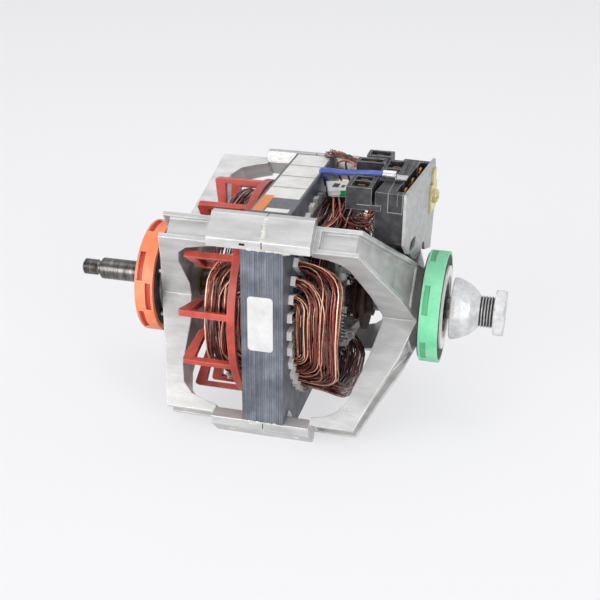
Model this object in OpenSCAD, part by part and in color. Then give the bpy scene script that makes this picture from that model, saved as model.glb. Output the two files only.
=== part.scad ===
// Dryer motor: split phase motor with a belt pulley at one end and a blower shaft at the other.
// Millimetres, +Z up. The origin is on the shaft axis, midway along the pulley end cradle ring.
// +X runs along the shaft towards the pulley. Modules draw in a frame whose X = 0 is the middle of
// the lamination stack, and motor() moves that frame to its place.

/* [Stator] */
// Width and height of the square lamination stack
stack_w = 129.4; // [126:0.2:134]
// Length of the stack along the shaft
stack_l = 22.5; // [21:0.5:25]
// Length of each flat side of the stack between its corner cuts
stack_flat = 100; // [98:0.5:102]
// Diameter of the stator bore
bore_d = 79; // [78:0.2:79.6]
// Distance from the axis to the outer end of a winding slot
slot_reach = 57; // [56:0.1:58]
// Width of a winding slot
slot_w = 5; // [4.8:0.1:5.2]
// Opening of a slot towards the bore
slot_mouth = 2.2; // [1.6:0.1:2.8]
// Wall of a slot liner
liner_wall = 0.35; // [0.25:0.05:0.4]
// How far a slot liner stands out of the stack
liner_cuff = 2.5; // [2:0.1:2.8]

/* [Windings] */
// Diameter of a strand bundle in the main windings
main_d = 3.6; // [3.2:0.1:3.6]
// Diameter of a strand bundle in the start windings
start_d = 3; // [2.6:0.1:3]
// Distance from the axis to the outer layer of the main windings
main_reach = 52; // [51.5:0.1:52.5]
// Step from one layer of the main windings to the next
layer_step = 4.7; // [4.6:0.1:4.8]
// How far the largest main loop stands out of the stack
main_h = 26.5; // [26:0.1:27]
// How far the smallest main loop stands out of the stack
main_h_min = 5.4; // [5.2:0.1:5.6]
// Distance from the axis to the start windings
start_reach = 42.6; // [42.6:0.1:42.8]
// How far the larger start loop stands out of the stack
start_h = 16; // [15:0.5:18]
// Step from the larger start loop to the smaller
start_step = 5.5; // [5:0.1:6.5]

/* [Shaft] */
// Diameter of the shaft in its bearings
shaft_d = 12.7; // [12.7:0.1:13.2]
// Diameter of the shaft inside the rotor core
shaft_core_d = 16; // [15:0.5:18]
// Diameter of the threaded stub that takes the blower wheel
stub_d = 9.4; // [8:0.2:11]
// Length of the stub's thread
stub_l = 10; // [8:0.5:12]
// Pitch of the stub's thread
stub_pitch = 1.27; // [1:0.01:1.5]
// Width of the relief between the thread and the shaft
neck_l = 1.7; // [1:0.1:3]
// Bare shaft between the blower end sleeve and the relief
journal_l = 33; // [28:0.5:38]
// Diameter of the bare shaft that takes the blower wheel
journal_d = 12.6; // [12.4:0.05:12.65]

/* [Rotor] */
// Air gap between the rotor and the stator
air_gap = 0.4; // [0.3:0.05:0.6]
// Outer diameter of the cast end rings
cage_d = 72; // [68:0.5:73]
// Inner diameter of the cast end rings
cage_bore = 52; // [48:0.5:56]
// Thickness of a cast end ring
cage_t = 7; // [5:0.5:8]
// Height of the fan blades on an end ring
blade_h = 3.5; // [2:0.5:3.5]
// Number of fan blades on an end ring
blade_count = 12; // [8:1:16]

/* [Brackets] */
// From the stack's middle to the middle of the pulley end cradle ring
pulley_ring_x = 81.3; // [80:0.1:84]
// From middle to middle of the two cradle rings
ring_span = 160; // [158:0.5:164]
// Bend of the pulley end bracket's arms, from the stack's middle
pulley_bend_x = 48.5; // [47:0.5:49]
// Bend of the blower end bracket's arms, from the stack's middle
blower_bend_x = 56.5; // [56:0.5:58]
// Length of the pulley end bracket's pads, from the stack's middle
pulley_pad_x = 25; // [24:0.5:26]
// Length of the blower end bracket's pads, from the stack's middle
blower_pad_x = 29; // [28:0.5:30]
// Thickness of a pad over the stack's corner
pad_t = 3.2; // [3:0.1:3.6]
// Step down from the stack's corner to the lips of an arm
lip_drop = 2.9; // [2.5:0.1:3.2]
// Wall of a lip
lip_wall = 2.4; // [2:0.1:3]
// Depth of an arm's channel on the stretch along the shaft
channel_depth = 3; // [2:0.1:3.4]
// Depth of an arm's channel on the stretch down to the hub
slope_depth = 5; // [3:0.5:6]
// Half width of an arm at the hub
arm_root = 15.2; // [14.6:0.1:15.6]
// Diameter of a hub
hub_d = 34; // [33:0.2:34.6]

/* [Bearings] */
// Outer diameter of a sleeve bearing
bearing_d = 19; // [18:0.5:20]
// Length of a sleeve bearing
bearing_l = 22; // [18:0.5:23]
// Running clearance of the shaft in its bearings, on the radius
running = 0.04; // [0.02:0.01:0.06]
// Diameter of the oil felt
wick_d = 27.6; // [25:0.2:28]
// Thickness of the oil felt
wick_t = 5; // [4:0.5:6]
// Thickness of the cap over the felt
cap_t = 1.2; // [0.8:0.1:1.6]

/* [Cradle rings] */
// Diameter of the pulley end cradle ring
pulley_ring_d = 62; // [61.6:0.2:64]
// Width of the pulley end cradle ring
pulley_ring_w = 10.3; // [9.6:0.1:10.6]
// Diameter of the blower end cradle ring
blower_ring_d = 64.6; // [63:0.2:66]
// Width of the blower end cradle ring
blower_ring_w = 10.7; // [9.6:0.1:10.7]
// Wall of the pulley end cradle ring
pulley_ring_wall = 1.5; // [1.2:0.1:1.8]
// Wall of the blower end cradle ring
blower_ring_wall = 2.8; // [2.4:0.1:3.2]
// Outer diameter of a hub sleeve
sleeve_d = 46.4; // [44:0.2:48]

/* [Belt pulley] */
// Diameter of the pulley's skirt
skirt_d = 34.6; // [32:0.2:35]
// Diameter of the grooved drum
drum_d = 18; // [17:0.2:19]
// Number of belt grooves
groove_count = 5; // [4:1:5]
// Pitch of the belt grooves
groove_pitch = 1.6; // [1.5:0.02:1.7]
// Depth of a belt groove
groove_depth = 1.1; // [0.8:0.1:1.3]
// Distance between opposite flats of the end flange
flange_af = 24; // [22:0.2:26]
// Thickness of the end flange
flange_t = 5.8; // [5:0.1:6.5]

/* [Centrifugal mechanism] */
// Diameter of the spool's outer flange
spool_d = 35; // [33:0.5:35]
// Length of the spool's travel
spool_travel = 3.1; // [2.6:0.1:3.1]
// Diameter of a flyweight pin
pin_d = 2.5; // [2:0.1:2.6]
// Wire diameter of a flyweight spring
spring_wire = 0.8; // [0.6:0.1:0.9]
// Diameter of a flyweight spring's curls
spring_d = 4.6; // [4:0.1:5]
// Number of curls in a flyweight spring
spring_curls = 6; // [5:1:8]

/* [Switch] */
// Turn of the switch about the upright axis
switch_turn = 5.5; // [4:0.5:6]
// Length of the switch plate
plate_l = 62; // [60:0.5:62]
// Thickness of the switch plate
plate_t = 1.6; // [1.2:0.1:2]
// Height of the switch plate's top edge above the shaft axis
switch_top = 74; // [73:0.5:75]
// Depth of the switch housing behind its plate
housing_depth = 17; // [16:0.5:17.5]
// Width of a spade terminal
spade_w = 6.3; // [6.3:0.1:6.6]
// Thickness of a spade terminal
spade_t = 0.8; // [0.5:0.1:1]
// Diameter of the ground screw's shank
screw_d = 4; // [3:0.1:4.2]

/* [Leads] */
// Diameter of the insulated lead
lead_d = 3.2; // [3:0.1:3.4]
// Diameter of a bare winding lead
wire_d = 1.4; // [1.2:0.1:1.6]

/* [Labels] */
// Width of the side label
side_label_w = 13.6; // [10:0.2:16]
// Height of the side label
side_label_h = 31; // [24:0.5:34]
// Thickness of a label
label_t = 0.2; // [0.15:0.05:0.3]

/* [Hidden] */
$fn = 72;

// Small gap that keeps neighbouring pieces of one body apart
fit = 0.05;
// Length that a cutter runs past what it cuts
over = 1;
half_w = stack_w / 2;
half_l = stack_l / 2;
half_flat = stack_flat / 2;
bore_r = bore_d / 2;
rotor_r = bore_r - air_gap;
shaft_r = shaft_d / 2;
hub_r = hub_d / 2;
sleeve_r = sleeve_d / 2;
// A rubber ring is this much smaller than the bore of its cradle ring, on the radius
rubber_gap = 0.1;
pulley_rubber_r = pulley_ring_d / 2 - pulley_ring_wall - rubber_gap;
blower_rubber_r = blower_ring_d / 2 - blower_ring_wall - rubber_gap;

// Distances from the axis along a diagonal of the stack
corner_s = (half_w + half_flat) / sqrt(2);
pad_s = corner_s + pad_t;
lip_s = corner_s - lip_drop;
arm_half = half_w * sqrt(2) - pad_s;
shoulder_s = lip_s - 2.4;

// Slots: 36, ten degrees apart, so that four poles with coils 80, 60 and 40 degrees wide fit them. The
// loops outside the stack follow the bore's curve
slot_step = 10;
slot_count = 360 / slot_step;
slot_floor = bore_r + 1.1;
main_loops = 6;
start_loops = 2;

// Ends of the bearings, felts, caps and sleeves along the shaft, from the stack's middle
blower_ring_x = ring_span - pulley_ring_x;
hub_in = 55;
hub_out = pulley_ring_x + 5.7;
blower_hub_end = blower_ring_x + 5.7;
bearing_in = hub_in + 0.2;
bearing_out = bearing_in + bearing_l;
wick_out = bearing_out + fit + wick_t;
shoulder_x = blower_ring_x + blower_ring_w / 2 + journal_l;
tip_x = shoulder_x + neck_l + stub_l;
journal_in = blower_hub_end + 1;

// Belt pulley, from the stack's middle
skirt_x = hub_out + 3.5;
drum_x = skirt_x + 14.8;
drum_l = groove_count * groove_pitch + 0.4;
flange_x = drum_x + drum_l;
pulley_end = flange_x + flange_t;
shaft_end = flange_x + 0.5;

// Centrifugal mechanism, from the stack's middle
cage_end = half_l + 0.5 + cage_t;
plate_x = cage_end + blade_h + 5.5;
pivot_x = plate_x + 7.5;
pivot_s = 20;
tip_r = 1.3;
tip_dx = 4.8;
tip_ds = 7.5;
groove_x = pivot_x + tip_dx;
spool_in = groove_x - tip_r - 0.3 - 1.6;
spool_face = groove_x + tip_r + 0.3 + 2.2;
sleeve_wall_r = 9.4;
pin_r = pin_d / 2;
spring_t = 11.8;
core_x = half_l + 10;

// Switch: its frame has its origin at the plate's near lower corner line, turned with the plate
switch_x = 66.5;
switch_y = -30;
lever_x = 47.5;
lever_z = 38;
nub_r = 1.5;
nub_z = 12;
screw_t = 58.5;
screw_z = 54;
screw_l = 8;

module motor() translate([-pulley_ring_x, 0, 0]) children();

// Flat shape in Y and Z, carried along X from x0 to x1
module along_x(x0, x1) translate([x0, 0, 0]) rotate([90, 0, 90]) linear_extrude(x1 - x0) children();
// Flat shape in X and Z, carried across Y, centred
module across(w) translate([0, w / 2, 0]) rotate([90, 0, 0]) linear_extrude(w) children();
// Turned piece from a profile of [x, radius] points
module turned(profile) rotate([0, 90, 0]) rotate_extrude() polygon([for (p = profile) [p[1], p[0]]]);
// Round tube or washer along X
module tube_x(x0, x1, r_out, r_in) turned([[x0, r_in], [x1, r_in], [x1, r_out], [x0, r_out]]);
module rod_x(x0, x1, r) translate([x0, 0, 0]) rotate([0, 90, 0]) cylinder(h = x1 - x0, r = r);
// Box from its low corner to its high corner
module block(a, b) translate(a) cube(b - a);
// Piece for the end at +X, or mirrored for the end at -X
module at_end(side) mirror([side < 0 ? 1 : 0, 0, 0]) children();
// Four corners of the stack: the child's +Z points out along a diagonal
module corners() for (k = [0:3]) rotate([45 + 90 * k, 0, 0]) children();

// Swept tube: rings of n points round a path, with a reference direction for each ring
function unit(v) = v / norm(v);
function sweep_ring(p, t, ref, r, n) =
    let (a = unit(ref - (ref * t) * t), b = cross(t, a))
    [for (i = [0:n - 1]) p + r * (cos(360 * i / n) * a + sin(360 * i / n) * b)];
module swept(path, refs, r, n) {
    m = len(path);
    tangents = [for (i = [0:m - 1]) unit(path[min(i + 1, m - 1)] - path[max(i - 1, 0)])];
    points = [for (i = [0:m - 1]) each sweep_ring(path[i], tangents[i], refs[i], r, n)];
    walls = [for (i = [0:m - 2], j = [0:n - 1])
        let (a = i * n + j, b = i * n + (j + 1) % n) each [[a, a + n, b + n], [a, b + n, b]]];
    first = [for (j = [1:n - 2]) [0, j, j + 1]];
    last = [for (j = [1:n - 2]) [(m - 1) * n, (m - 1) * n + j + 1, (m - 1) * n + j]];
    polyhedron(points, concat(walls, first, last));
}
// Points between the path's own points, for measuring its least gap to itself
function fine(path, k) = [for (i = [0:len(path) - 2], j = [0:k - 1])
    path[i] + (path[i + 1] - path[i]) * j / k];
function least_gap(path, d, skip) = min([for (i = [0:len(path) - 1 - skip])
    min([for (j = [i + skip:len(path) - 1]) norm(path[i] - path[j])])]) - d;

module slot_places() for (k = [0:slot_count - 1]) rotate([slot_step * k, 0, 0]) children();

module stack_outline() intersection() {
    square(stack_w, center = true);
    rotate(45) square(2 * corner_s, center = true);
}

// Lamination stack with 36 slots that open into the bore
module stator_core() color("#5f6c7b") motor() difference() {
    along_x(-half_l, half_l) stack_outline();
    rod_x(-half_l - over, half_l + over, bore_r);
    slot_places() {
        block([-half_l - over, -slot_w / 2, slot_floor], [half_l + over, slot_w / 2, slot_reach]);
        block([-half_l - over, -slot_mouth / 2, bore_r - over],
            [half_l + over, slot_mouth / 2, slot_floor + over]);
    }
}

// Liner sleeves whose cuffs stand out of both faces of the stack
module slot_liners() color("#d8d8d4") motor() slot_places() difference() {
    x = half_l + liner_cuff;
    y = slot_w / 2 - fit;
    block([-x, -y, slot_floor + fit], [x, y, slot_reach - fit]);
    block([-x - over, -y + liner_wall, slot_floor + fit + liner_wall],
        [x + over, y - liner_wall, slot_reach - fit - liner_wall]);
}

// Half a loop: out of one slot, round two corners and back to the other slot, as [across, out] pairs.
// The corners take four rings each.
function end_turn(w0, w1, h) =
    let (r = min(h - 2, 0.8 * min(w0, w1), 15))
    concat([[w0, 1.2]],
        [for (i = [0:3]) [w0 - r + r * cos(30 * i), h - r + r * sin(30 * i)]],
        [for (i = [3:-1:0]) [-w1 + r - r * cos(30 * i), h - r + r * sin(30 * i)]],
        [[-w1, 1.2]]);
function on_curve(r, across, x) = [x, r * sin(across * 57.3 / r), r * cos(across * 57.3 / r)];
// Size of loop j of a main winding: radius of its layer, half width round the bore and height
function main_r(j) = main_reach - layer_step * (j % 2);
function main_w(j) = main_r(j) * (40 - slot_step * floor(j / 2)) / 57.3;
function main_hj(j) = main_h - (main_h - main_h_min) * j / (main_loops - 1);
function main_path() = concat(
    [on_curve(main_r(0), main_w(0), -half_l - 1.2)],
    [for (j = [0:main_loops - 1]) each concat(
        [for (p = end_turn(main_w(j), main_w(j), main_hj(j))) on_curve(main_r(j), p[0], half_l + p[1])],
        j == main_loops - 1 ? [on_curve(main_r(j), -main_w(j), -half_l - 1.2)] :
            let (turn = end_turn(main_w(j), main_w(j + 1), (main_hj(j) + main_hj(j + 1)) / 2))
            [for (i = [0:9]) on_curve(main_r(i < 5 ? j : j + 1), -turn[i][0], -half_l - turn[i][1])])]);
module main_winding(k) {
    path = main_path();
    echo("main winding, least gap to itself in mm", least_gap(fine(path, 4), main_d, 30));
    color("#8f3a26") motor() rotate([90 * k, 0, 0])
        swept(path, [for (p = path) [0, p[1], p[2]]], main_d / 2, 6);
}
module top_main_winding() main_winding(0);
module near_main_winding() main_winding(1);
module bottom_main_winding() main_winding(2);
module far_main_winding() main_winding(3);

// Start windings lie nearer the bore, halfway between the main ones
function start_w(j) = start_reach * (35 - slot_step * j) / 57.3;
function start_hj(j) = start_h - start_step * j;
function start_path() = concat(
    [on_curve(start_reach, start_w(0), -half_l - 1.2)],
    [for (j = [0:start_loops - 1]) each concat(
        [for (p = end_turn(start_w(j), start_w(j), start_hj(j))) on_curve(start_reach, p[0], half_l + p[1])],
        j == start_loops - 1 ? [on_curve(start_reach, -start_w(j), -half_l - 1.2)] :
            [for (p = end_turn(start_w(j), start_w(j + 1), start_hj(j) - start_step / 2))
                on_curve(start_reach, -p[0], -half_l - p[1])])]);
module start_winding(k) {
    path = start_path();
    echo("start winding, least gap to itself in mm", least_gap(fine(path, 4), start_d, 30));
    color("#6b2a1d") motor() rotate([45 + 90 * k, 0, 0])
        swept(path, [for (p = path) [0, p[1], p[2]]], start_d / 2, 6);
}
module top_start_winding() start_winding(0);
module near_start_winding() start_winding(1);
module bottom_start_winding() start_winding(2);
module far_start_winding() start_winding(3);

// Plastic guard round the blower end of the windings: a band with twelve open hooks
guard_r = slot_reach + 4.3;
guard_x0 = half_l + 4.8;
guard_x1 = guard_x0 + 4.2;
hook_x = 47.5;
hook_in_x = main_h + half_l + main_d / 2 + 1.4;
hook_in_r = 38.9;
hook_count = 12;
hook_phase = 22.5;
hook_w = 3.4;
module winding_guard() color("#d4584a") motor() mirror([1, 0, 0]) {
    tube_x(guard_x0, guard_x1, guard_r, guard_r - 2.7);
    corners() block([half_l, -1.5, guard_r - 2.4], [guard_x0 + over, 1.5, guard_r - 0.4]);
    for (k = [0:hook_count - 1]) rotate([hook_phase + k * 360 / hook_count, 0, 0]) across(hook_w) {
        polygon([[guard_x0 + 0.5, guard_r - 3], [hook_x - 1, guard_r - 3], [hook_x, guard_r - 1.5],
            [hook_x - 0.5, guard_r - 0.5], [hook_x - 1.5, guard_r - 0.1], [guard_x0 + 0.5, guard_r - 0.1]]);
        polygon([[hook_x, guard_r - 1.5], [hook_x - 2, guard_r - 0.5], [hook_x - 6, guard_r - 2.6],
            [hook_in_x - 0.5, hook_in_r + over], [hook_in_x + 1.5, hook_in_r - over],
            [hook_in_x + 3.4, hook_in_r]]);
        polygon([[half_l + 9, hook_in_r - over], [hook_in_x + 1.5, hook_in_r - over],
            [hook_in_x + 1.5, hook_in_r + over], [half_l + 9, hook_in_r + over]]);
    }
}

// One end bracket: four channelled arms from pads on the stack's corners down to the hub.
// outer and inner are side profiles of [along, out] points; floor_line is the channel's floor.
module arm_plan(inset) polygon([[-arm_half + inset, lip_s + over], [-arm_root + inset, arm_root],
    [0, 0], [arm_root - inset, arm_root], [arm_half - inset, lip_s + over]]);
module bracket(pad_x, outer, inner, floor_line, hub_face, hub_end) {
    difference() {
        union() {
            corners() {
                intersection() {
                    along_x(0, hub_face + over) arm_plan(0);
                    across(2 * arm_root) polygon(concat(outer, inner));
                }
                along_x(half_l, pad_x) polygon([[-arm_half, pad_s],
                    [-(half_w * sqrt(2) - corner_s), corner_s],
                    [-arm_half, shoulder_s - 0.6], [arm_half, shoulder_s - 0.6],
                    [half_w * sqrt(2) - corner_s, corner_s], [arm_half, pad_s]]);
                along_x(0.3, half_l + 0.5) polygon([[-arm_half, pad_s],
                    [-(half_w * sqrt(2) - corner_s), corner_s + 0.01],
                    [half_w * sqrt(2) - corner_s, corner_s + 0.01], [arm_half, pad_s]]);
            }
            rod_x(hub_in, hub_end, hub_r);
        }
        corners() intersection() {
            along_x(0, hub_face + 9) arm_plan(lip_wall);
            across(2 * arm_root) polygon(floor_line);
        }
        rod_x(hub_in - 2 * over, hub_end + over, bearing_d / 2 + fit / 2);
        rod_x(bearing_out, hub_end + over, wick_d / 2 + fit);
    }
}
pulley_hub_face = pulley_ring_x - pulley_ring_w / 2 - 2.2;
blower_hub_face = blower_ring_x - blower_ring_w / 2 - 2.2;
module pulley_end_bracket() color("#c9cacc") motor()
    bracket(pulley_pad_x,
        [[pulley_pad_x - 0.5, lip_s], [pulley_bend_x, lip_s], [pulley_bend_x + 9, 0.73 * lip_s],
            [pulley_bend_x + 18.5, 0.473 * lip_s], [pulley_hub_face, 16], [pulley_hub_face, 0]],
        [[hub_in, 0], [hub_in + 0.5, 18], [hub_in - 4, 0.486 * lip_s], [hub_in - 8.5, 0.665 * lip_s],
            [hub_in - 12, 0.806 * lip_s], [hub_in - 16.5, lip_s - 9.2], [hub_in - 23, lip_s - 5.6],
            [pulley_pad_x - 0.5, lip_s - 4.2]],
        [[pulley_pad_x + 3, lip_s - channel_depth], [pulley_bend_x - 2.5, lip_s - channel_depth],
            [pulley_bend_x + 9 - slope_depth * 0.8, 0.73 * lip_s],
            [pulley_bend_x + 18.5 - slope_depth, 0.473 * lip_s], [pulley_hub_face - 4, 25],
            [pulley_hub_face + 9, 25], [pulley_hub_face + 9, lip_s + 9], [pulley_pad_x + 3, lip_s + 9]],
        pulley_hub_face, hub_out);
module blower_end_bracket() color("#c9cacc") motor() mirror([1, 0, 0]) {
    bracket(blower_pad_x,
        [[blower_pad_x - 0.5, lip_s], [blower_bend_x, lip_s], [blower_bend_x + 5, 0.703 * lip_s],
            [blower_hub_face, 17], [blower_hub_face, 0]],
        [[hub_in - 1, 0], [hub_in - 1, 15], [hub_in - 3.5, 29], [hub_in - 3.5, 0.69 * lip_s],
            [hub_in - 6, 0.818 * lip_s], [hub_in - 11.5, lip_s - 8.6], [hub_in - 20, lip_s - 5.8],
            [blower_pad_x - 0.5, lip_s - 4.2]],
        [[blower_pad_x + 3, lip_s - channel_depth], [blower_bend_x - 3, lip_s - channel_depth],
            [blower_bend_x + 5 - slope_depth, 0.703 * lip_s], [blower_hub_face - slope_depth, 25],
            [blower_hub_face + 9, 25], [blower_hub_face + 9, lip_s + 9], [blower_pad_x + 3, lip_s + 9]],
        blower_hub_face, blower_hub_end);
    corners() for (t = [-7, 7])
        translate([0, t, 25.8]) rod_x(blower_hub_face - 3, blower_ring_x - blower_ring_w / 2 - 1.3, 1.2);
}

// Small lumps of epoxy on the seams between the pads and the stack
bead_r = 3;
bead_h = 1.5;
module bead() intersection() {
    translate([0, 0, bead_h - bead_r]) sphere(bead_r);
    block([-bead_r, -bead_r, 0], [bead_r, bead_r, bead_r]);
}
module epoxy_beads() color("#a9bcb0") motor() {
    corners() for (x = [-18.5, 17.5]) translate([x, 0, pad_s]) bead();
    rotate([45, 0, 0]) translate([-24.5, -3.5, pad_s]) bead();
    for (a = [45, 135]) rotate([a, 0, 0]) translate([half_l, 0, shoulder_s - 3.5]) rotate([0, 90, 0]) bead();
}

// Sleeve bearings, oil felts and caps inside the two hubs
module end_bearing(side) color("#b08d57") motor() at_end(side)
    tube_x(bearing_in, bearing_out, bearing_d / 2, shaft_r + running);
module blower_end_bearing() end_bearing(-1);
module pulley_end_bearing() end_bearing(1);
module end_wick(side) color("#6e5a40") motor() at_end(side)
    tube_x(bearing_out + fit, wick_out, wick_d / 2, shaft_r + 2.5);
module blower_end_wick() end_wick(-1);
module pulley_end_wick() end_wick(1);
module end_cap(side) color("#3c3d40") motor() at_end(side)
    tube_x(wick_out + fit, wick_out + fit + cap_t, wick_d / 2, shaft_r + 1.2);
module blower_end_cap() end_cap(-1);
module pulley_end_cap() end_cap(1);

// Cradle rings with the rubber rings and sleeves that carry them on the hubs
pocket_angle = 30;
pocket_in = 0.8;
pocket_out = 4.1;
// Shallow pockets beside the middle of a ring's rim: side 1 is away from the stack, -1 towards it
module pocket(x, r, depth, side) intersection() {
    tube_x(x + (side > 0 ? pocket_in : -pocket_out), x + (side > 0 ? pocket_out : -pocket_in),
        r + over, r - depth);
    along_x(x - pocket_out, x + pocket_out) polygon([[0, 0], [-2 * r * tan(pocket_angle / 2), 2 * r],
        [2 * r * tan(pocket_angle / 2), 2 * r]]);
}
module pulley_cradle_ring() color("#8cefb8") motor() difference() {
    tube_x(pulley_ring_x - pulley_ring_w / 2, pulley_ring_x + pulley_ring_w / 2, pulley_ring_d / 2,
        pulley_rubber_r + rubber_gap);
    for (a = [0:60:300]) rotate([a, 0, 0]) pocket(pulley_ring_x, pulley_ring_d / 2, 0.7, -1);
}
module blower_cradle_ring() color("#ff8a5c") motor() mirror([1, 0, 0]) difference() {
    tube_x(blower_ring_x - blower_ring_w / 2, blower_ring_x + blower_ring_w / 2, blower_ring_d / 2,
        blower_rubber_r + rubber_gap);
    for (a = [0:120:240], p = [[58, 1], [90, -1], [122, 1]]) rotate([a + p[0], 0, 0])
        pocket(blower_ring_x, blower_ring_d / 2, 1.4, p[1]);
}
module pulley_rubber_ring() color("#2e2f33") motor()
    tube_x(pulley_hub_face + 1.35, hub_out - 0.7, pulley_rubber_r, sleeve_r + fit);
module blower_rubber_ring() color("#2e2f33") motor() mirror([1, 0, 0])
    tube_x(blower_hub_face + 1.15, blower_hub_end - 0.6, blower_rubber_r, sleeve_r + fit);
module pulley_sleeve() color("#d6d6d4") motor()
    tube_x(pulley_hub_face + 1.05, hub_out + 0.3, sleeve_r, hub_r + fit);
module blower_sleeve() color("#d6d6d4") motor() mirror([1, 0, 0])
    tube_x(blower_hub_face + 1.05, blower_hub_end + 0.3, sleeve_r, hub_r + fit);

// Rotor shaft: threaded stub, relief, journals, thick middle
module shaft() color("#c4c6c8") motor() turned(concat(
    [[-tip_x, 0], [-tip_x, stub_d / 2 - 1]],
    [for (i = [0:floor(stub_l / stub_pitch) - 1], s = [0, 0.5])
        [-tip_x + 0.8 + (i + s) * stub_pitch, stub_d / 2 - (s == 0 ? 0 : 0.6)]],
    [[-shoulder_x - neck_l, stub_d / 2 - 0.8], [-shoulder_x, stub_d / 2 - 0.8],
        [-shoulder_x, journal_d / 2 - 0.5], [-shoulder_x + 0.5, journal_d / 2],
        [-journal_in, journal_d / 2], [-journal_in, shaft_r - 0.6], [1.5 - journal_in, shaft_r - 0.6],
        [1.5 - journal_in, shaft_r],
        [-core_x, shaft_r], [-core_x, shaft_core_d / 2], [core_x, shaft_core_d / 2], [core_x, shaft_r],
        [shaft_end - 0.5, shaft_r], [shaft_end, shaft_r - 0.5], [shaft_end, 0]]));

// Rotor laminations and the aluminium cage cast through them
bar_r = 1.8;
bar_s = 33.5;
bar_count = 24;
module cage_bars(r, x) for (k = [0:bar_count - 1]) rotate([360 / bar_count * k, 0, 0])
    translate([0, 0, bar_s]) rod_x(-x, x, r);
module rotor_core() color("#4c5058") motor() difference() {
    tube_x(-half_l - 0.5, half_l + 0.5, rotor_r, shaft_core_d / 2 + fit / 2);
    cage_bars(bar_r + fit, half_l + over);
}
module rotor_cage() color("#c9cacc") motor() {
    cage_bars(bar_r, half_l + over);
    for (side = [-1, 1]) at_end(side) {
        tube_x(cage_end - cage_t + fit, cage_end, cage_d / 2, cage_bore / 2);
        for (k = [0:blade_count - 1]) rotate([360 / blade_count * k, 0, 0])
            block([cage_end - 0.5, -1.2, cage_bore / 2 + 1.2], [cage_end + blade_h, 1.2, cage_d / 2 - 1.2]);
    }
}
module thrust_washers() color("#8d6f4a") motor() for (side = [-1, 1]) at_end(side)
    tube_x(hub_in - 1.5, hub_in - 0.3, bearing_d / 2 - 0.3, shaft_r + fit / 2);

// Small pulley: skirt, belt grooves and a six-sided end flange
module belt_pulley() color("#bfc2c4") motor() difference() {
    union() {
        turned(concat([[skirt_x, 0], [skirt_x, skirt_d / 2 - 0.6], [skirt_x + 0.6, skirt_d / 2],
            [skirt_x + 2.5, skirt_d / 2 - 0.3], [skirt_x + 6, skirt_d / 2 - 1.5],
            [skirt_x + 10.5, skirt_d / 2 - 3.8], [skirt_x + 13.5, drum_d / 2 + 1.6], [drum_x, drum_d / 2]],
            [for (i = [0:groove_count - 1], s = [0, 0.5, 1])
                [drum_x + 0.2 + (i + s) * groove_pitch, drum_d / 2 - (s == 0.5 ? groove_depth : 0)]],
            [[flange_x + over, drum_d / 2], [flange_x + over, 0]]));
        intersection() {
            rotate([30, 0, 0]) along_x(flange_x, pulley_end) circle(flange_af / 2 / cos(30), $fn = 6);
            turned([[flange_x, 0], [flange_x, flange_af / 2 + 0.4], [flange_x + 1, flange_af / 2 + 1.6],
                [pulley_end - 1, flange_af / 2 + 1.6], [pulley_end, flange_af / 2 + 0.4], [pulley_end, 0]]);
        }
    }
    rod_x(skirt_x - over, shaft_end + fit, shaft_r + fit / 2);
}

// Centrifugal mechanism on the shaft: a plate with ears, two flyweights on pins, their springs and
// the spool that they pull along the shaft
plate_half = 8.8;
plate_sheet = 1.5;
ear_in = 7.2;
ear_out = 8.6;
spring_x = 30.8;
spring_foot = 3;
spring_top = 23.2;
module actuator_plate() color("#b9bbb8") motor() difference() {
    union() {
        rod_x(plate_x - 3.75, plate_x + 3.25, 9);
        along_x(plate_x, plate_x + plate_sheet) {
            square([2 * plate_half, 2 * (pivot_s + 1)], center = true);
            square([2 * (spring_t + 1.4), 2 * (spring_foot - 0.1)], center = true);
        }
        for (u = [0, 180], t = [-1, 1]) rotate([u, 0, 0]) mirror([0, t < 0 ? 1 : 0, 0])
            block([plate_x + plate_sheet - 0.25, ear_in, pivot_s - 2.5],
                [pivot_x + 2.35, ear_out, pivot_s + 2.3]);
        for (u = [0, 180]) rotate([u, 0, 0]) translate([0, spring_t, spring_foot - 1.2])
            rod_x(plate_x + plate_sheet - 0.5, spring_x + 1, 1);
    }
    rod_x(plate_x - 4.75, plate_x + 4.25, shaft_r + fit / 2);
    for (u = [0, 180]) rotate([u, 0, 0]) translate([pivot_x, 0, pivot_s]) across_rod(20, pin_r + 0.02);
}
module across_rod(w, r) translate([0, -w / 2, 0]) rotate([-90, 0, 0]) cylinder(h = w, r = r);
module flyweight_pins() color("#d2d3d0") motor() for (u = [0, 180]) rotate([u, 0, 0])
    translate([pivot_x, 0, pivot_s]) across_rod(2 * ear_out + 0.8, pin_r);
module flyweight_spring(u) color("#c2c4c6") motor() rotate([u, 0, 0]) {
    r = spring_d / 2;
    z0 = spring_foot + 2;
    z1 = spring_top - 2;
    path = concat([[spring_x, spring_t, spring_foot], [spring_x, spring_t, z0 - 0.6]],
        [for (i = [0:8 * spring_curls]) let (a = 45 * i)
            [spring_x + r * sin(a), spring_t + r * cos(a), z0 + (z1 - z0) * i / (8 * spring_curls)]],
        [[spring_x, spring_t, z1 + 0.6], [spring_x, spring_t, spring_top]]);
    swept(path, [for (i = [0:len(path) - 1]) i < 2 || i > len(path) - 3 ? [1, 0.3, 0] : [0, 0, 1]],
        spring_wire / 2, 6);
}
module upper_spring() flyweight_spring(0);
module lower_spring() flyweight_spring(180);
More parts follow.
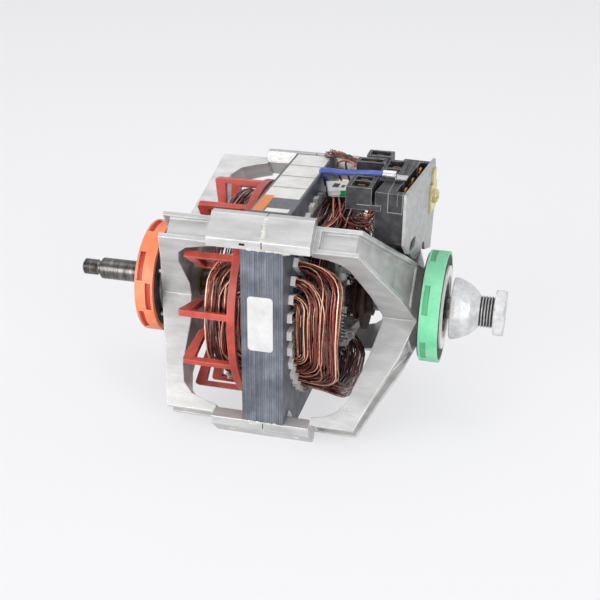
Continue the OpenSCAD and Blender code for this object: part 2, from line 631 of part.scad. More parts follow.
module flyweight(u) color("#a9aaa6") motor() rotate([u, 0, 0]) difference() {
    union() {
        across(18) polygon([[25, 23], [34, 23], [34, 26.5], [33, 27.5], [26, 27.5], [25, 26.5]]);
        for (t = [-5.9, 5.9]) translate([0, t, 0]) across(1.4) polygon([[33, 18], [37.5, 18], [37.5, 21.5],
            [33.5, 26.5], [29, 26.5], [29, 23.5], [33, 22]]);
        for (t = [-5.9, 5.9]) translate([0, t, 0]) across(1.4) polygon([[33.2, 19], [39, 11.7],
            [40.9, 13.2], [37.2, 20]]);
        translate([groove_x, 0, pivot_s - tip_ds]) across_rod(13.2, tip_r);
        block([spring_x - 1, 8, spring_top + 0.1], [spring_x + 1, spring_t + 1.2, spring_top + 2.4]);
    }
    translate([pivot_x, 0, pivot_s]) across_rod(20, pin_r + running);
}
module upper_flyweight() flyweight(0);
module lower_flyweight() flyweight(180);
module actuator_spool() color("#e6e1d2") motor() turned([
    [groove_x - 5.55, shaft_r + 0.06], [spool_face + 3.2, shaft_r + 0.06], [spool_face + 3.2, sleeve_wall_r],
    [spool_face, sleeve_wall_r], [spool_face, spool_d / 2], [spool_face - 2.2, spool_d / 2],
    [spool_face - 2.2, sleeve_wall_r], [spool_in + 1.6, sleeve_wall_r], [spool_in + 1.6, 12.5],
    [spool_in, 12.5], [spool_in, sleeve_wall_r], [groove_x - 5.55, sleeve_wall_r]]);

// Switch lever: a fork that rides on the spool's face
fork_y = 11.5;
ear_y = 10.3;
module switch_lever() color("#e9ded4") motor() difference() {
    union() {
        translate([lever_x, 0, lever_z]) across_rod(2 * ear_y - 0.6, 3);
        for (y = [-fork_y, fork_y]) translate([0, y, 0]) {
            across(4) polygon([[lever_x - 1.3, nub_z - 1.5], [lever_x + 1.3, nub_z - 1.5],
                [lever_x + 1.3, 32], [lever_x - 1.3, 32]]);
            translate([spool_face + 0.3 + nub_r, 0, nub_z]) across_rod(4, nub_r);
        }
        block([lever_x - 1.3, -fork_y - 2, 27], [lever_x + 1.3, fork_y + 2, 32]);
        block([lever_x - 1.3, -8, 31], [lever_x + 1.3, 8, lever_z]);
    }
    translate([lever_x, 0, lever_z]) across_rod(40, 1.5 + running);
}
module lever_pin() color("#d2d3d0") motor() translate([lever_x, 0, lever_z]) across_rod(2 * ear_y + 5.4, 1.5);

// Switch: plate, moulded housing with its deck and towers, brass parts inside
module on_switch() translate([switch_x, switch_y, 0]) rotate([0, 0, -switch_turn]) children();
plate_lower = [[0, 46], [8, 38.5], [12, 37.5], [17, 33.5], [25, 28.5], [30, 28], [38, 29.5], [42, 32.5],
    [45.5, 31.5], [47, 26], [plate_l, 21.5]];
module switch_plate() color("#9c9c9c") motor() on_switch() difference() {
    along_x(-plate_t, 0) difference() {
        polygon(concat(plate_lower, [[plate_l + 4, 45], [plate_l + 3.5, 58], [plate_l, switch_top + 0.5],
            [0, switch_top - 0.5]]));
        translate([14.8, 40.6]) circle(3);
        translate([21.2, 40.6]) circle(3);
        translate([18, 40.6]) square([6.4, 6], center = true);
    }
    translate([0, screw_t, screw_z]) rod_x(-plate_t - over, over, screw_d / 2 + fit);
}
module hollow_tower(a, b, wall) difference() {
    block(a, b);
    block(a + [wall, wall, b[2] - a[2] - 9], b + [-wall, -wall, over]);
}
module switch_housing() color("#2b2b2d") motor() difference() {
    union() {
        on_switch() along_x(-housing_depth, -plate_t - fit) polygon([[1.5, 46], [27, 28.5], [31, 28.5],
            [60, 48.5], [60, 73], [1.5, 73]]);
        block([34.6, -28, 63], [53, 32, 66]);
        block([34.6, -28, 65], [48, -8, 75]);
        hollow_tower([31.5, 14, 63], [47, 22, 75], 1.4);
        hollow_tower([35.6, 21.9, 63], [49.6, 32, 76.4], 1.4);
        block([46.9, -8, 65], [58.5, 24, 74.2]);
        for (y = [-ear_y - 2.1, ear_y])
            block([lever_x - 3, y, lever_z - 3.5], [lever_x + 9, y + 2.1, lever_z + 4]);
    }
    translate([lever_x, 0, lever_z]) across_rod(40, 1.5 + 0.02);
    on_switch() {
        block([-7.2, 6, 58], [-2.2, 57, 80]);
        translate([0, screw_t, screw_z]) rod_x(-screw_l - over, 0, screw_d / 2 + fit);
    }
    block([49, 10.5, 68], [57, 22, 80]);
    block([49, -10, 73], [57, 8.5, 80]);
    block([37, -26, 71], [46, -17.5, 80]);
    block([37, -16, 71], [46, -10, 80]);
}
// Spade terminals that stand in the pockets of the towers and the deck
module spade(p, top) translate(p) {
    block([-spade_w / 2, -spade_t / 2, 0], [spade_w / 2, spade_t / 2, top - 1.5]);
    block([-spade_w / 2 + 1.2, -spade_t / 2, top - 1.6], [spade_w / 2 - 1.2, spade_t / 2, top]);
}
module switch_terminals() color("#c9b06a") motor() {
    spade([39.3, 18, 66 + fit], 8.2);
    spade([42.6, 27, 67.4 + fit], 8);
    spade([41.5, -21.8, 71 + fit], 3.4);
    spade([41.5, -13, 71 + fit], 3.4);
}
module contact_strips() color("#c79a4b") motor() on_switch() {
    for (t = [8, 34]) {
        block([-5.4, t, 58 + fit], [-4.6, t + 20, 68]);
        translate([0, t + 10, 64]) rod_x(-4.7, -2.8, 2.4);
    }
}
module contact_spring() color("#b9803c") motor() translate([53.5, 16, 68 + fit]) difference() {
    cylinder(h = 5, r = 2.6);
    translate([0, 0, -over]) cylinder(h = 5 + 2 * over, r = 1.7);
}
module ground_tab() color("#c9b25a") motor() on_switch() difference() {
    union() {
        block([fit, 52, 46], [1.1, 64, 62]);
        block([fit, 55, 61], [1.1, 61.3, 70]);
    }
    translate([0, screw_t, screw_z]) rod_x(-over, 3, screw_d / 2 + fit);
}
module ground_screw() color("#d0c27a") motor() on_switch() translate([0, screw_t, screw_z]) difference() {
    union() {
        rod_x(-screw_l, 1.5, screw_d / 2);
        turned([[1.1 + fit, 0], [1.1 + fit, 4], [2.6, 4], [3.6, 2.6], [3.6, 0]]);
    }
    block([2.7, -5, -0.5], [5, 5, 0.5]);
}

// Leads, drawn as smooth curves through their route points
function curve_point(p, i, s) =
    let (a = p[max(i - 1, 0)], b = p[i], c = p[i + 1], d = p[min(i + 2, len(p) - 1)])
    0.5 * (2 * b + (c - a) * s + (2 * a - 5 * b + 4 * c - d) * s * s + (3 * b - a - 3 * c + d) * s * s * s);
function curve(p, k) =
    concat([for (i = [0:len(p) - 2], j = [0:k - 1]) curve_point(p, i, j / k)], [p[len(p) - 1]]);
module lead(route, d, ref) {
    path = curve(route, 4);
    swept(path, [for (p = path) ref], d / 2, 8);
}
protector_z = main_reach + main_d / 2 + 0.3;
terminal_z = switch_top + 2;
blue_route = [[14.6, 17.6, protector_z + 3.9], [13.6, 18.5, protector_z + 6.9], [12.9, 15, half_w + 0.8],
    [13, 10, half_w + 4.3], [17, 6, half_w + 6.1], [26, 0, half_w + 7.9], [36, -4.6, terminal_z - 1.4],
    [44, -6.6, terminal_z - 0.1], [52, -7, terminal_z]];
module blue_lead() color("#5a70c4") motor() lead(blue_route, lead_d, [0.3, 1, 0.2]);
module lead_terminal() color("#cfd1d3") motor() translate([50, -7, terminal_z]) {
    tube_x(0, 7, lead_d / 2 + 0.7, lead_d / 2 + fit);
    block([6.9, -spade_w / 2, -1.5], [13, spade_w / 2, -1.5 + spade_t]);
}
module thermal_protector() color("#efeee8") motor() translate([22.4, 10, protector_z])
    rotate([0, 0, 18]) {
        block([-6, -8, 0], [6, 8, 7.2]);
        block([-4.5, -9.5, 1], [4.5, -7.9, 5.5]);
    }
winding_routes = [
    [[24, 35.2, 41.9], [20, 36, 52], [17, 34, 61], [18, 30, 67.5], [22, 25, 71], [27, 20, 72], [31, 18, 71]],
    [[28, 34.4, 42.6], [24, 38, 52], [21, 38, 62], [22, 34, 68], [27, 30, 71], [31, 27, 71], [35.2, 26, 71]],
    [[21.95, -0.3, 57.4], [22.8, -3, 57.8], [23.6, -7, 57], [24.8, -12, 54.4], [26, -17, 52.4]],
    [[24.8, 0.6, 57.4], [25.6, -2, 57.8], [26.8, -6, 57], [28.4, -11, 54.6], [30, -16, 52.7]]];
module winding_leads() color("#7a3424") motor()
    for (route = winding_routes) lead(route, wire_d, [0.2, 0.1, 1]);

// Blank labels on the stack
module side_label() color("#f4f4f2") motor() translate([-0.85, -half_w - label_t, 9]) rotate([-90, 0, 0])
    linear_extrude(label_t) {
        square([side_label_w, side_label_h - 4], center = true);
        square([side_label_w - 4, side_label_h], center = true);
        for (i = [-1, 1], j = [-1, 1])
            translate([i * (side_label_w / 2 - 2), j * (side_label_h / 2 - 2)]) circle(2);
    }
module top_label() color("#ededea") motor() block([-half_l + 0.5, -half_flat + 1, half_w],
    [half_l - 0.5, half_flat - 1, half_w + label_t]);

stator_core();
slot_liners();
top_main_winding();
near_main_winding();
bottom_main_winding();
far_main_winding();
top_start_winding();
near_start_winding();
bottom_start_winding();
far_start_winding();
winding_guard();
blower_end_bracket();
pulley_end_bracket();
epoxy_beads();
blower_end_bearing();
pulley_end_bearing();
blower_end_wick();
pulley_end_wick();
blower_end_cap();
pulley_end_cap();
blower_cradle_ring();
pulley_cradle_ring();
blower_rubber_ring();
pulley_rubber_ring();
blower_sleeve();
pulley_sleeve();
switch_housing();
switch_plate();
switch_terminals();
contact_strips();
contact_spring();
lever_pin();
ground_tab();
ground_screw();
blue_lead();
lead_terminal();
thermal_protector();
winding_leads();
side_label();
top_label();
shaft();
rotor_core();
rotor_cage();
thrust_washers();
belt_pulley();
actuator_plate();
flyweight_pins();
upper_spring();
lower_spring();
actuator_spool();
upper_flyweight();
lower_flyweight();
switch_lever();
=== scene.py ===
import math
import bpy
import numpy as np
from mathutils import Matrix, Vector


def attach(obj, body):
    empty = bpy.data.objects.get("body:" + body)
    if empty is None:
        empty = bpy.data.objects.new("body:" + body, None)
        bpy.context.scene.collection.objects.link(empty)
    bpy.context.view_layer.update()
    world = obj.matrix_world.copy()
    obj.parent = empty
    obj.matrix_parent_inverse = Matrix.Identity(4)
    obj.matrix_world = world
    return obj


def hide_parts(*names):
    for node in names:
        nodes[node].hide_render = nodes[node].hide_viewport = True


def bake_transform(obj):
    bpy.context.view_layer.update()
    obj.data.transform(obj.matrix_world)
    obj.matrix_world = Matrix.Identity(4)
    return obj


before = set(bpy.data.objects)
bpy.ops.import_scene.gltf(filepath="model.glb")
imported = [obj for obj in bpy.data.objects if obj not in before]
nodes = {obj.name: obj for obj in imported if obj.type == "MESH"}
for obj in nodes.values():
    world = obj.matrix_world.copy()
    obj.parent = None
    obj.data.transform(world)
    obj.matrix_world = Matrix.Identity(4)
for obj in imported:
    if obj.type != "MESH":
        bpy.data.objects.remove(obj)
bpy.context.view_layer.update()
scene = bpy.context.scene
chance = np.random.default_rng(7)

# Sizes below are millimetres in the stack's own frame: X = 0 is the middle of the lamination stack,
# and the frame's origin lies 81.3 further along the shaft.
STACK_TO_FRAME = np.array([-81.3, 0.0, 0.0])
HALF_STACK = 11.25
# Turns about the shaft, from straight up, of the diagonals on which the brackets' pads lie
DIAGONALS = (45, 135, 225, 315)
# Radii of the wires
MAIN_RADIUS = 0.36
START_RADIUS = 0.43
LOOSE_RADIUS = 0.42
CROSSOVER_RADIUS = 0.4
# A strand's UV map has one unit of U for this length of wire
STRAND_UNIT = 20
# A colour mix node's sockets go by number: its share, the colour under, the colour over and its result
MIX_SHARE, MIX_UNDER, MIX_OVER, MIX_RESULT = 0, 6, 7, 2


# Camera and studio
def place_camera():
    """Camera fitted to the photograph: it stands off from its target by a distance in mm, along the direction
    that yaw and rise give in degrees, and is rolled about that direction."""
    yaw, rise, roll = (math.radians(v) for v in (14.26, 25.46, 0.45))
    target = Vector((3.77 + STACK_TO_FRAME[0], 0, -6.08))
    distance = 612.25
    back = Vector((math.sin(yaw) * math.cos(rise), -math.cos(yaw) * math.cos(rise), math.sin(rise)))
    right = Vector((math.cos(yaw), math.sin(yaw), 0))
    up = back.cross(right)
    tilted = right * math.cos(roll) + up * math.sin(roll)
    upright = up * math.cos(roll) - right * math.sin(roll)
    camera = bpy.data.objects.new("camera", bpy.data.cameras.new("camera"))
    camera.data.lens = 64.17
    camera.data.sensor_width = 36
    camera.data.clip_start = 0.01
    turn = Matrix((tilted, upright, back)).transposed().to_4x4()
    camera.matrix_world = Matrix.Translation((target + back * distance) / 1000) @ turn
    scene.collection.objects.link(camera)
    scene.camera = camera


def srgb(code):
    """Linear colour of an sRGB hex value."""
    parts = [int(code[i:i + 2], 16) / 255 for i in (1, 3, 5)]
    return tuple(((v + 0.055) / 1.055) ** 2.4 if v > 0.04045 else v / 12.92 for v in parts) + (1.0,)


def add(tree, kind, inputs=None, **settings):
    """Adds a node; inputs maps a socket's name or number to a value or to the socket that feeds it."""
    made = tree.nodes.new(kind)
    for key, value in settings.items():
        setattr(made, key, value)
    for key, value in (inputs or {}).items():
        if isinstance(value, bpy.types.NodeSocket):
            tree.links.new(value, made.inputs[key])
        else:
            made.inputs[key].default_value = value
    return made


def paper():
    """Matt paper, pale and without a shine. To the camera and in gloss it has a darker colour and a glow, so
    that it stays an even pale grey at a gentle light. The motor gets only what the paper throws back."""
    material = bpy.data.materials.new("matt_paper_sweep")
    material.use_nodes = True
    tree = material.node_tree
    shader = tree.nodes["Principled BSDF"]
    shader.inputs["Roughness"].default_value = 0.9
    shader.inputs["Specular IOR Level"].default_value = 0.1
    shader.inputs["Emission Color"].default_value = srgb("#f4f4f6")
    path = add(tree, "ShaderNodeLightPath")
    seen = add(tree, "ShaderNodeMath", {0: path.outputs["Is Camera Ray"], 1: path.outputs["Is Glossy Ray"]},
               operation="MAXIMUM")
    tone = add(tree, "ShaderNodeMix", {MIX_SHARE: seen.outputs[0], MIX_UNDER: srgb("#dcdcde"),
                                       MIX_OVER: srgb("#8e8e90")}, data_type="RGBA")
    tree.links.new(tone.outputs[MIX_RESULT], shader.inputs["Base Color"])
    glow = add(tree, "ShaderNodeMath", {0: seen.outputs[0], 1: 0.71}, operation="MULTIPLY")
    tree.links.new(glow.outputs[0], shader.inputs["Emission Strength"])
    return material


def paper_sweep():
    """Backdrop in metres: a profile of a flat floor, a quarter circle and an upright wall, drawn out along X.
    The floor is level with the underside of the lower pads."""
    floor_z, front_y, curve_y, radius, wall_z, half_width = -0.0647, -2.2, 1.4, 0.9, 3.2, 3.2
    a = np.linspace(0, math.pi / 2, 17)
    y = np.concatenate([[front_y], curve_y + radius * np.sin(a), [curve_y + radius]])
    z = np.concatenate([[0], radius - radius * np.cos(a), [wall_z]]) + floor_z
    edges = [np.stack([np.full_like(y, x), y, z], 1) for x in (-half_width, half_width)]
    points = np.stack(edges, 1).reshape(-1, 3)
    quads = [(2 * i, 2 * i + 1, 2 * i + 3, 2 * i + 2) for i in range(len(y) - 1)]
    mesh = bpy.data.meshes.new("paper_sweep")
    mesh.from_pydata(points.tolist(), [], quads)
    mesh.polygons.foreach_set("use_smooth", [True] * len(quads))
    mesh.materials.append(paper())
    sweep = bpy.data.objects.new("paper_sweep", mesh)
    scene.collection.objects.link(sweep)


def lamps():
    """Four soft lamps, each with its place and size in metres and its power in watts, that face the motor."""
    middle = Vector((-0.08, 0, 0))
    for name, place, size, power in (("overhead", (-0.25, 0.1, 1.2), (1.2, 1.0), 4.2),
                                     ("left_front", (-0.9, -1.15, 0.3), (1.3, 0.9), 17.4),
                                     ("right_front", (0.95, -0.8, 0.35), (0.4, 0.9), 8.0),
                                     ("right_rear", (1.1, 0.6, 0.9), (0.6, 0.6), 2.0)):
        lamp = bpy.data.lights.new(name, "AREA")
        lamp.shape = "RECTANGLE"
        lamp.size, lamp.size_y = size
        lamp.energy = power
        lamp.color = (1, 0.99, 0.98)
        holder = bpy.data.objects.new(name, lamp)
        aim = (middle - Vector(place)).to_track_quat("-Z", "Y")
        holder.matrix_world = Matrix.Translation(place) @ aim.to_matrix().to_4x4()
        scene.collection.objects.link(holder)


def studio_air():
    """Air that is bright above and dim at the sides and below: a ramp over the height of the direction."""
    world = bpy.data.worlds.new("studio_air")
    world.use_nodes = True
    tree = world.node_tree
    place = add(tree, "ShaderNodeTexCoord")
    parts = add(tree, "ShaderNodeSeparateXYZ", {"Vector": place.outputs["Generated"]})
    air = add(tree, "ShaderNodeValToRGB", {"Fac": parts.outputs["Z"]})
    below, above = air.color_ramp.elements
    below.color = (0.3, 0.305, 0.32, 1)
    above.color = (0.82, 0.83, 0.86, 1)
    above.position = 0.85
    tree.links.new(air.outputs[0], tree.nodes["Background"].inputs["Color"])
    tree.nodes["Background"].inputs["Strength"].default_value = 0.7
    scene.world = world
    scene.view_settings.view_transform = "Standard"


# Ways to make a material
def finish(name, tones, metallic, roughness, tone_mm, grain_mm, relief_mm, edge_mm=0.3, stretch=(1, 1, 1),
           swell_mm=0.0, worn=None, coat=0.0):
    """A real surface: two tones that drift over tone_mm, roughness between two values, and a grain of
    grain_mm that stands relief_mm proud, on edges rounded to edge_mm. stretch multiplies the patterns' place
    along each axis: above 1 packs them closer, below 1 draws them out. swell_mm lifts the drift too, worn is
    the colour the edges take, partly wear from handling and partly a painted highlight along them, and coat
    is the share of a clear layer."""
    material = bpy.data.materials.new(name)
    material.use_nodes = True
    tree = material.node_tree
    shader = tree.nodes["Principled BSDF"]
    place = add(tree, "ShaderNodeTexCoord")
    scaled = add(tree, "ShaderNodeMapping", {"Vector": place.outputs["Object"], "Scale": stretch})
    drift = add(tree, "ShaderNodeTexNoise", {"Vector": scaled.outputs[0], "Scale": 1000 / tone_mm,
                                             "Detail": 4.0, "Roughness": 0.6})
    tone = add(tree, "ShaderNodeMapRange", {"Value": drift.outputs["Fac"], "From Min": 0.32,
                                            "From Max": 0.68})
    blend = add(tree, "ShaderNodeValToRGB", {"Fac": tone.outputs[0]})
    for stop, code in zip(blend.color_ramp.elements, tones):
        stop.color = srgb(code)
    colour = blend.outputs["Color"]
    grain = add(tree, "ShaderNodeTexNoise", {"Vector": scaled.outputs[0], "Scale": 1000 / grain_mm,
                                             "Detail": 3.0, "Roughness": 0.55})
    rough = add(tree, "ShaderNodeMapRange", {"Value": grain.outputs["Fac"], "From Min": 0.3,
                                             "From Max": 0.7, "To Min": roughness[0],
                                             "To Max": roughness[1]})
    tree.links.new(rough.outputs[0], shader.inputs["Roughness"])
    edge = add(tree, "ShaderNodeBevel", {"Radius": edge_mm / 1000}, samples=4)
    if worn:
        # The rounded normal leaves the flat one only at an edge; the pale colour there is partly wear and
        # partly a painted highlight along the edge, and comes and goes with drift
        flat = add(tree, "ShaderNodeNewGeometry")
        match = add(tree, "ShaderNodeVectorMath", {0: edge.outputs[0], 1: flat.outputs["Normal"]},
                    operation="DOT_PRODUCT")
        edge_wear_and_glint = add(tree, "ShaderNodeMapRange", {"Value": match.outputs["Value"], "From Min": 0.995,
                                               "From Max": 0.88, "To Min": 0.0, "To Max": 1.0})
        share = add(tree, "ShaderNodeMapRange", {"Value": drift.outputs["Fac"], "From Min": 0.32,
                                                 "From Max": 0.6, "To Min": 0.45, "To Max": 1.0})
        patchy_wear_and_glint = add(tree, "ShaderNodeMath", {0: edge_wear_and_glint.outputs[0], 1: share.outputs[0]}, operation="MULTIPLY")
        worn_and_glinting_edges = add(tree, "ShaderNodeMix", {MIX_SHARE: patchy_wear_and_glint.outputs[0], MIX_UNDER: colour,
                                             MIX_OVER: srgb(worn)}, data_type="RGBA")
        colour = worn_and_glinting_edges.outputs[MIX_RESULT]
    tree.links.new(colour, shader.inputs["Base Color"])
    relief = add(tree, "ShaderNodeBump", {"Height": grain.outputs["Fac"], "Normal": edge.outputs[0],
                                          "Distance": relief_mm / 1000, "Strength": 1.0})
    if swell_mm:
        relief = add(tree, "ShaderNodeBump", {"Height": drift.outputs["Fac"], "Normal": relief.outputs[0],
                                              "Distance": swell_mm / 1000, "Strength": 1.0})
    tree.links.new(relief.outputs[0], shader.inputs["Normal"])
    shader.inputs["Metallic"].default_value = metallic
    shader.inputs["Coat Weight"].default_value = coat
    return material


def colour_of(material):
    """A finish's node tree, its place in space, the socket its colour comes from and the one it goes to."""
    tree = material.node_tree
    target = tree.nodes["Principled BSDF"].inputs["Base Color"]
    return tree, tree.nodes["Texture Coordinate"].outputs["Object"], target.links[0].from_socket, target


def laminated(name, tones, pitch_mm=1.25, seam_mm=0.22):
    """Stacked silicon steel sheets, blued at their cut edges: lines across X, one shade for each sheet. The
    real sheets are about 0.5 mm thick, and are drawn at pitch_mm so that they show."""
    material = finish(name, tones, metallic=0.55, roughness=(0.42, 0.62), tone_mm=14, grain_mm=0.7,
                      relief_mm=0.05, edge_mm=0.25)
    tree, place, ground, target = colour_of(material)
    parts = add(tree, "ShaderNodeSeparateXYZ", {"Vector": place})
    sheets = add(tree, "ShaderNodeMath", {0: parts.outputs["X"], 1: 1000 / pitch_mm}, operation="MULTIPLY")
    within = add(tree, "ShaderNodeMath", {0: sheets.outputs[0]}, operation="FRACT")
    seam = add(tree, "ShaderNodeMath", {0: within.outputs[0], 1: seam_mm / pitch_mm}, operation="LESS_THAN")
    number = add(tree, "ShaderNodeMath", {0: sheets.outputs[0]}, operation="FLOOR")
    shade = add(tree, "ShaderNodeTexWhiteNoise", {"W": number.outputs[0]}, noise_dimensions="1D")
    # Scratches that run along the sheets: noise of 0.4 mm across them, drawn out to 8 mm along Y and Z
    drawn = add(tree, "ShaderNodeMapping", {"Vector": place, "Scale": (2600, 130, 130)})
    streak = add(tree, "ShaderNodeTexNoise", {"Vector": drawn.outputs[0], "Scale": 1.0, "Detail": 2.0})
    light = add(tree, "ShaderNodeMath", {0: shade.outputs["Value"], 1: 0.35, 2: 0.72},
                operation="MULTIPLY_ADD")
    lit = add(tree, "ShaderNodeMath", {0: streak.outputs["Fac"], 1: 0.7, 2: -0.3}, operation="MULTIPLY_ADD")
    both = add(tree, "ShaderNodeMath", {0: light.outputs[0], 1: lit.outputs[0]}, operation="ADD")
    dark = add(tree, "ShaderNodeMath", {0: seam.outputs[0], 1: -0.42, 2: both.outputs[0]},
               operation="MULTIPLY_ADD")
    toned = add(tree, "ShaderNodeVectorMath", {0: ground, 1: dark.outputs[0]}, operation="MULTIPLY")
    tree.links.new(toned.outputs[0], target)
    return material


def wire_enamel(name, tones, gap_mm=1.8):
    """Enamelled copper wire: each strand has its own shade, kept in V of its UV map, under a clear coat.
    Painted shade: an occlusion test darkens the colour, nearly to black, within gap_mm of a gap between
    strands."""
    material = bpy.data.materials.new(name)
    material.use_nodes = True
    tree = material.node_tree
    shader = tree.nodes["Principled BSDF"]
    place = add(tree, "ShaderNodeUVMap", uv_map="strand")
    parts = add(tree, "ShaderNodeSeparateXYZ", {"Vector": place.outputs[0]})
    # The shade drifts along a strand, nine times in a unit of U, which is about once in 2.2 mm
    run = add(tree, "ShaderNodeTexNoise", {"Vector": place.outputs[0], "Scale": 9.0, "Detail": 2.0})
    mixed = add(tree, "ShaderNodeMath", {0: run.outputs["Fac"], 1: 0.5, 2: -0.25}, operation="MULTIPLY_ADD")
    whole = add(tree, "ShaderNodeMath", {0: parts.outputs["Y"], 1: mixed.outputs[0]}, operation="ADD")
    blend = add(tree, "ShaderNodeValToRGB", {"Fac": whole.outputs[0]})
    blend.color_ramp.elements.new(0.5)
    for stop, code in zip(blend.color_ramp.elements, tones):
        stop.color = srgb(code)
    # Painted shade between the strands: ambient occlusion darkens the colour near the gaps
    gap_occlusion = add(tree, "ShaderNodeAmbientOcclusion", {"Distance": gap_mm / 1000}, samples=6, only_local=True)
    painted_gap_shade = add(tree, "ShaderNodeMapRange", {"Value": gap_occlusion.outputs["AO"], "From Min": 0.42,
                                                  "From Max": 0.82, "To Min": 0.05, "To Max": 1.3})
    toned = add(tree, "ShaderNodeVectorMath", {0: blend.outputs["Color"], 1: painted_gap_shade.outputs[0]},
                operation="MULTIPLY")
    tree.links.new(toned.outputs[0], shader.inputs["Base Color"])
    for key, value in {"Metallic": 0.55, "Roughness": 0.32, "Coat Weight": 1.0, "Coat IOR": 1.6,
                       "Coat Roughness": 0.08}.items():
        shader.inputs[key].default_value = value
    return material


def marked(material, fields):
    """The same finish with plain coloured fields, for parts of more than one colour. A field is two ranges
    in mm of the stack's frame and a colour: (axis, low, high, axis, low, high, colour)."""
    tree, place, colour, target = colour_of(material)
    parts = add(tree, "ShaderNodeSeparateXYZ", {"Vector": place})
    for axis_a, low_a, high_a, axis_b, low_b, high_b, code in fields:
        inside = None
        for axis, low, high in ((axis_a, low_a, high_a), (axis_b, low_b, high_b)):
            middle = (low + high) / 2 + STACK_TO_FRAME["XYZ".index(axis)]
            near = add(tree, "ShaderNodeMath", {0: parts.outputs[axis], 1: middle / 1000,
                                                2: (high - low) / 2000}, operation="COMPARE").outputs[0]
            if inside is not None:
                near = add(tree, "ShaderNodeMath", {0: inside, 1: near}, operation="MULTIPLY").outputs[0]
            inside = near
        field = add(tree, "ShaderNodeMix", {MIX_SHARE: inside, MIX_UNDER: colour, MIX_OVER: srgb(code)},
                    data_type="RGBA")
        colour = field.outputs[MIX_RESULT]
    tree.links.new(colour, target)
    return material


def painted_shade_within(material, radius_mm, low_mm, high_mm, share):
    """Painted shade in pockets and grooves on the same finish: its red, green and blue are cut to share where
    it lies nearer the shaft's axis than radius_mm, between two X planes."""
    tree, place, ground, target = colour_of(material)
    parts = add(tree, "ShaderNodeSeparateXYZ", {"Vector": place})
    flat = add(tree, "ShaderNodeCombineXYZ", {"Y": parts.outputs["Y"], "Z": parts.outputs["Z"]})
    reach = add(tree, "ShaderNodeVectorMath", {0: flat.outputs[0]}, operation="LENGTH")
    near = add(tree, "ShaderNodeMath", {0: reach.outputs["Value"], 1: radius_mm / 1000},
               operation="LESS_THAN")
    middle = (low_mm + high_mm) / 2 + STACK_TO_FRAME[0]
    along = add(tree, "ShaderNodeMath", {0: parts.outputs["X"], 1: middle / 1000,
                                         2: (high_mm - low_mm) / 2000}, operation="COMPARE")
    both = add(tree, "ShaderNodeMath", {0: near.outputs[0], 1: along.outputs[0]}, operation="MULTIPLY")
    level = add(tree, "ShaderNodeMix", {MIX_SHARE: both.outputs[0], MIX_UNDER: (1, 1, 1, 1),
                                        MIX_OVER: (*share, 1)}, data_type="RGBA")
    toned = add(tree, "ShaderNodeVectorMath", {0: ground, 1: level.outputs[MIX_RESULT]},
                operation="MULTIPLY")
    tree.links.new(toned.outputs[0], target)
    return material


def label_film(name, ground, fields=()):
    """Printed polyester film: smooth, with plain fields of colour and faint scuffs 6 mm apart."""
    material = finish(name, (ground, ground), metallic=0.0, roughness=(0.3, 0.5), tone_mm=6, grain_mm=1.5,
                      relief_mm=0.01)
    marked(material, fields)
    tree, place, colour, target = colour_of(material)
    scuffs = add(tree, "ShaderNodeTexNoise", {"Vector": place, "Scale": 160.0, "Detail": 5.0})
    wear = add(tree, "ShaderNodeMapRange", {"Value": scuffs.outputs["Fac"], "From Min": 0.3,
                                            "From Max": 0.75, "To Min": 1.0, "To Max": 0.82})
    worn = add(tree, "ShaderNodeVectorMath", {0: colour, 1: wear.outputs[0]}, operation="MULTIPLY")
    tree.links.new(worn.outputs[0], target)
    return material


# Materials

# A pixel shows about 0.6 mm of the motor. The grain of the real surfaces is 0.05 to 0.2 mm and too fine to
# show, so grain_mm is drawn several times coarser.

# Die cast aluminium: grey metal with a cloudy sheen drawn out along the shaft, the way its mould opened,
# with edges painted near white, partly worn bright and partly a painted highlight, and a near black band
# painted low in the skirts of the blower end's upper pads, the painted shade of a slot
DIE_CAST = finish("die_cast_aluminium", ("#b6b6b5", "#d4d3d2"), metallic=0.6, roughness=(0.28, 0.5),
                  tone_mm=8, grain_mm=0.6, relief_mm=0.1, edge_mm=0.9, stretch=(0.3, 1, 1), swell_mm=0.1,
                  worn="#ffffff")
# The near black field is painted shade, standing for the shadow inside a slot in the pads' skirts
marked(DIE_CAST, [("X", -11.6, -8.6, "Z", 51.9, 53.1, "#0c0c0c")])

# Rolled sheet steel under dull zinc: an even grey with a blurred shine
PLATED = finish("zinc_plated_sheet_steel", ("#abacac", "#c6c6c5"), metallic=0.75, roughness=(0.38, 0.55),
                tone_mm=4, grain_mm=0.5, relief_mm=0.05)
# Stamped steel under bright zinc: paler, with a sharper shine
BRIGHT_ZINC = finish("bright_zinc_steel", ("#c6c8c4", "#ecece8"), metallic=0.6, roughness=(0.3, 0.45),
                     tone_mm=5, grain_mm=0.5, relief_mm=0.03)
# Folded polyester film: off-white and smooth, with a soft gloss
LINER = finish("polyester_slot_film", ("#e2e0da", "#f6f4ee"), metallic=0.0, roughness=(0.35, 0.5),
               tone_mm=4, grain_mm=1.0, relief_mm=0.02, edge_mm=0.1)
# Moulded nylon: even coral red with a satin skin, paler along its edges, partly worn and partly a painted
# highlight
GUARD = finish("moulded_nylon_coral", ("#a5362b", "#c85041"), metallic=0.0, roughness=(0.3, 0.46),
               tone_mm=9, grain_mm=0.6, relief_mm=0.05, edge_mm=0.7, worn="#f0968a")
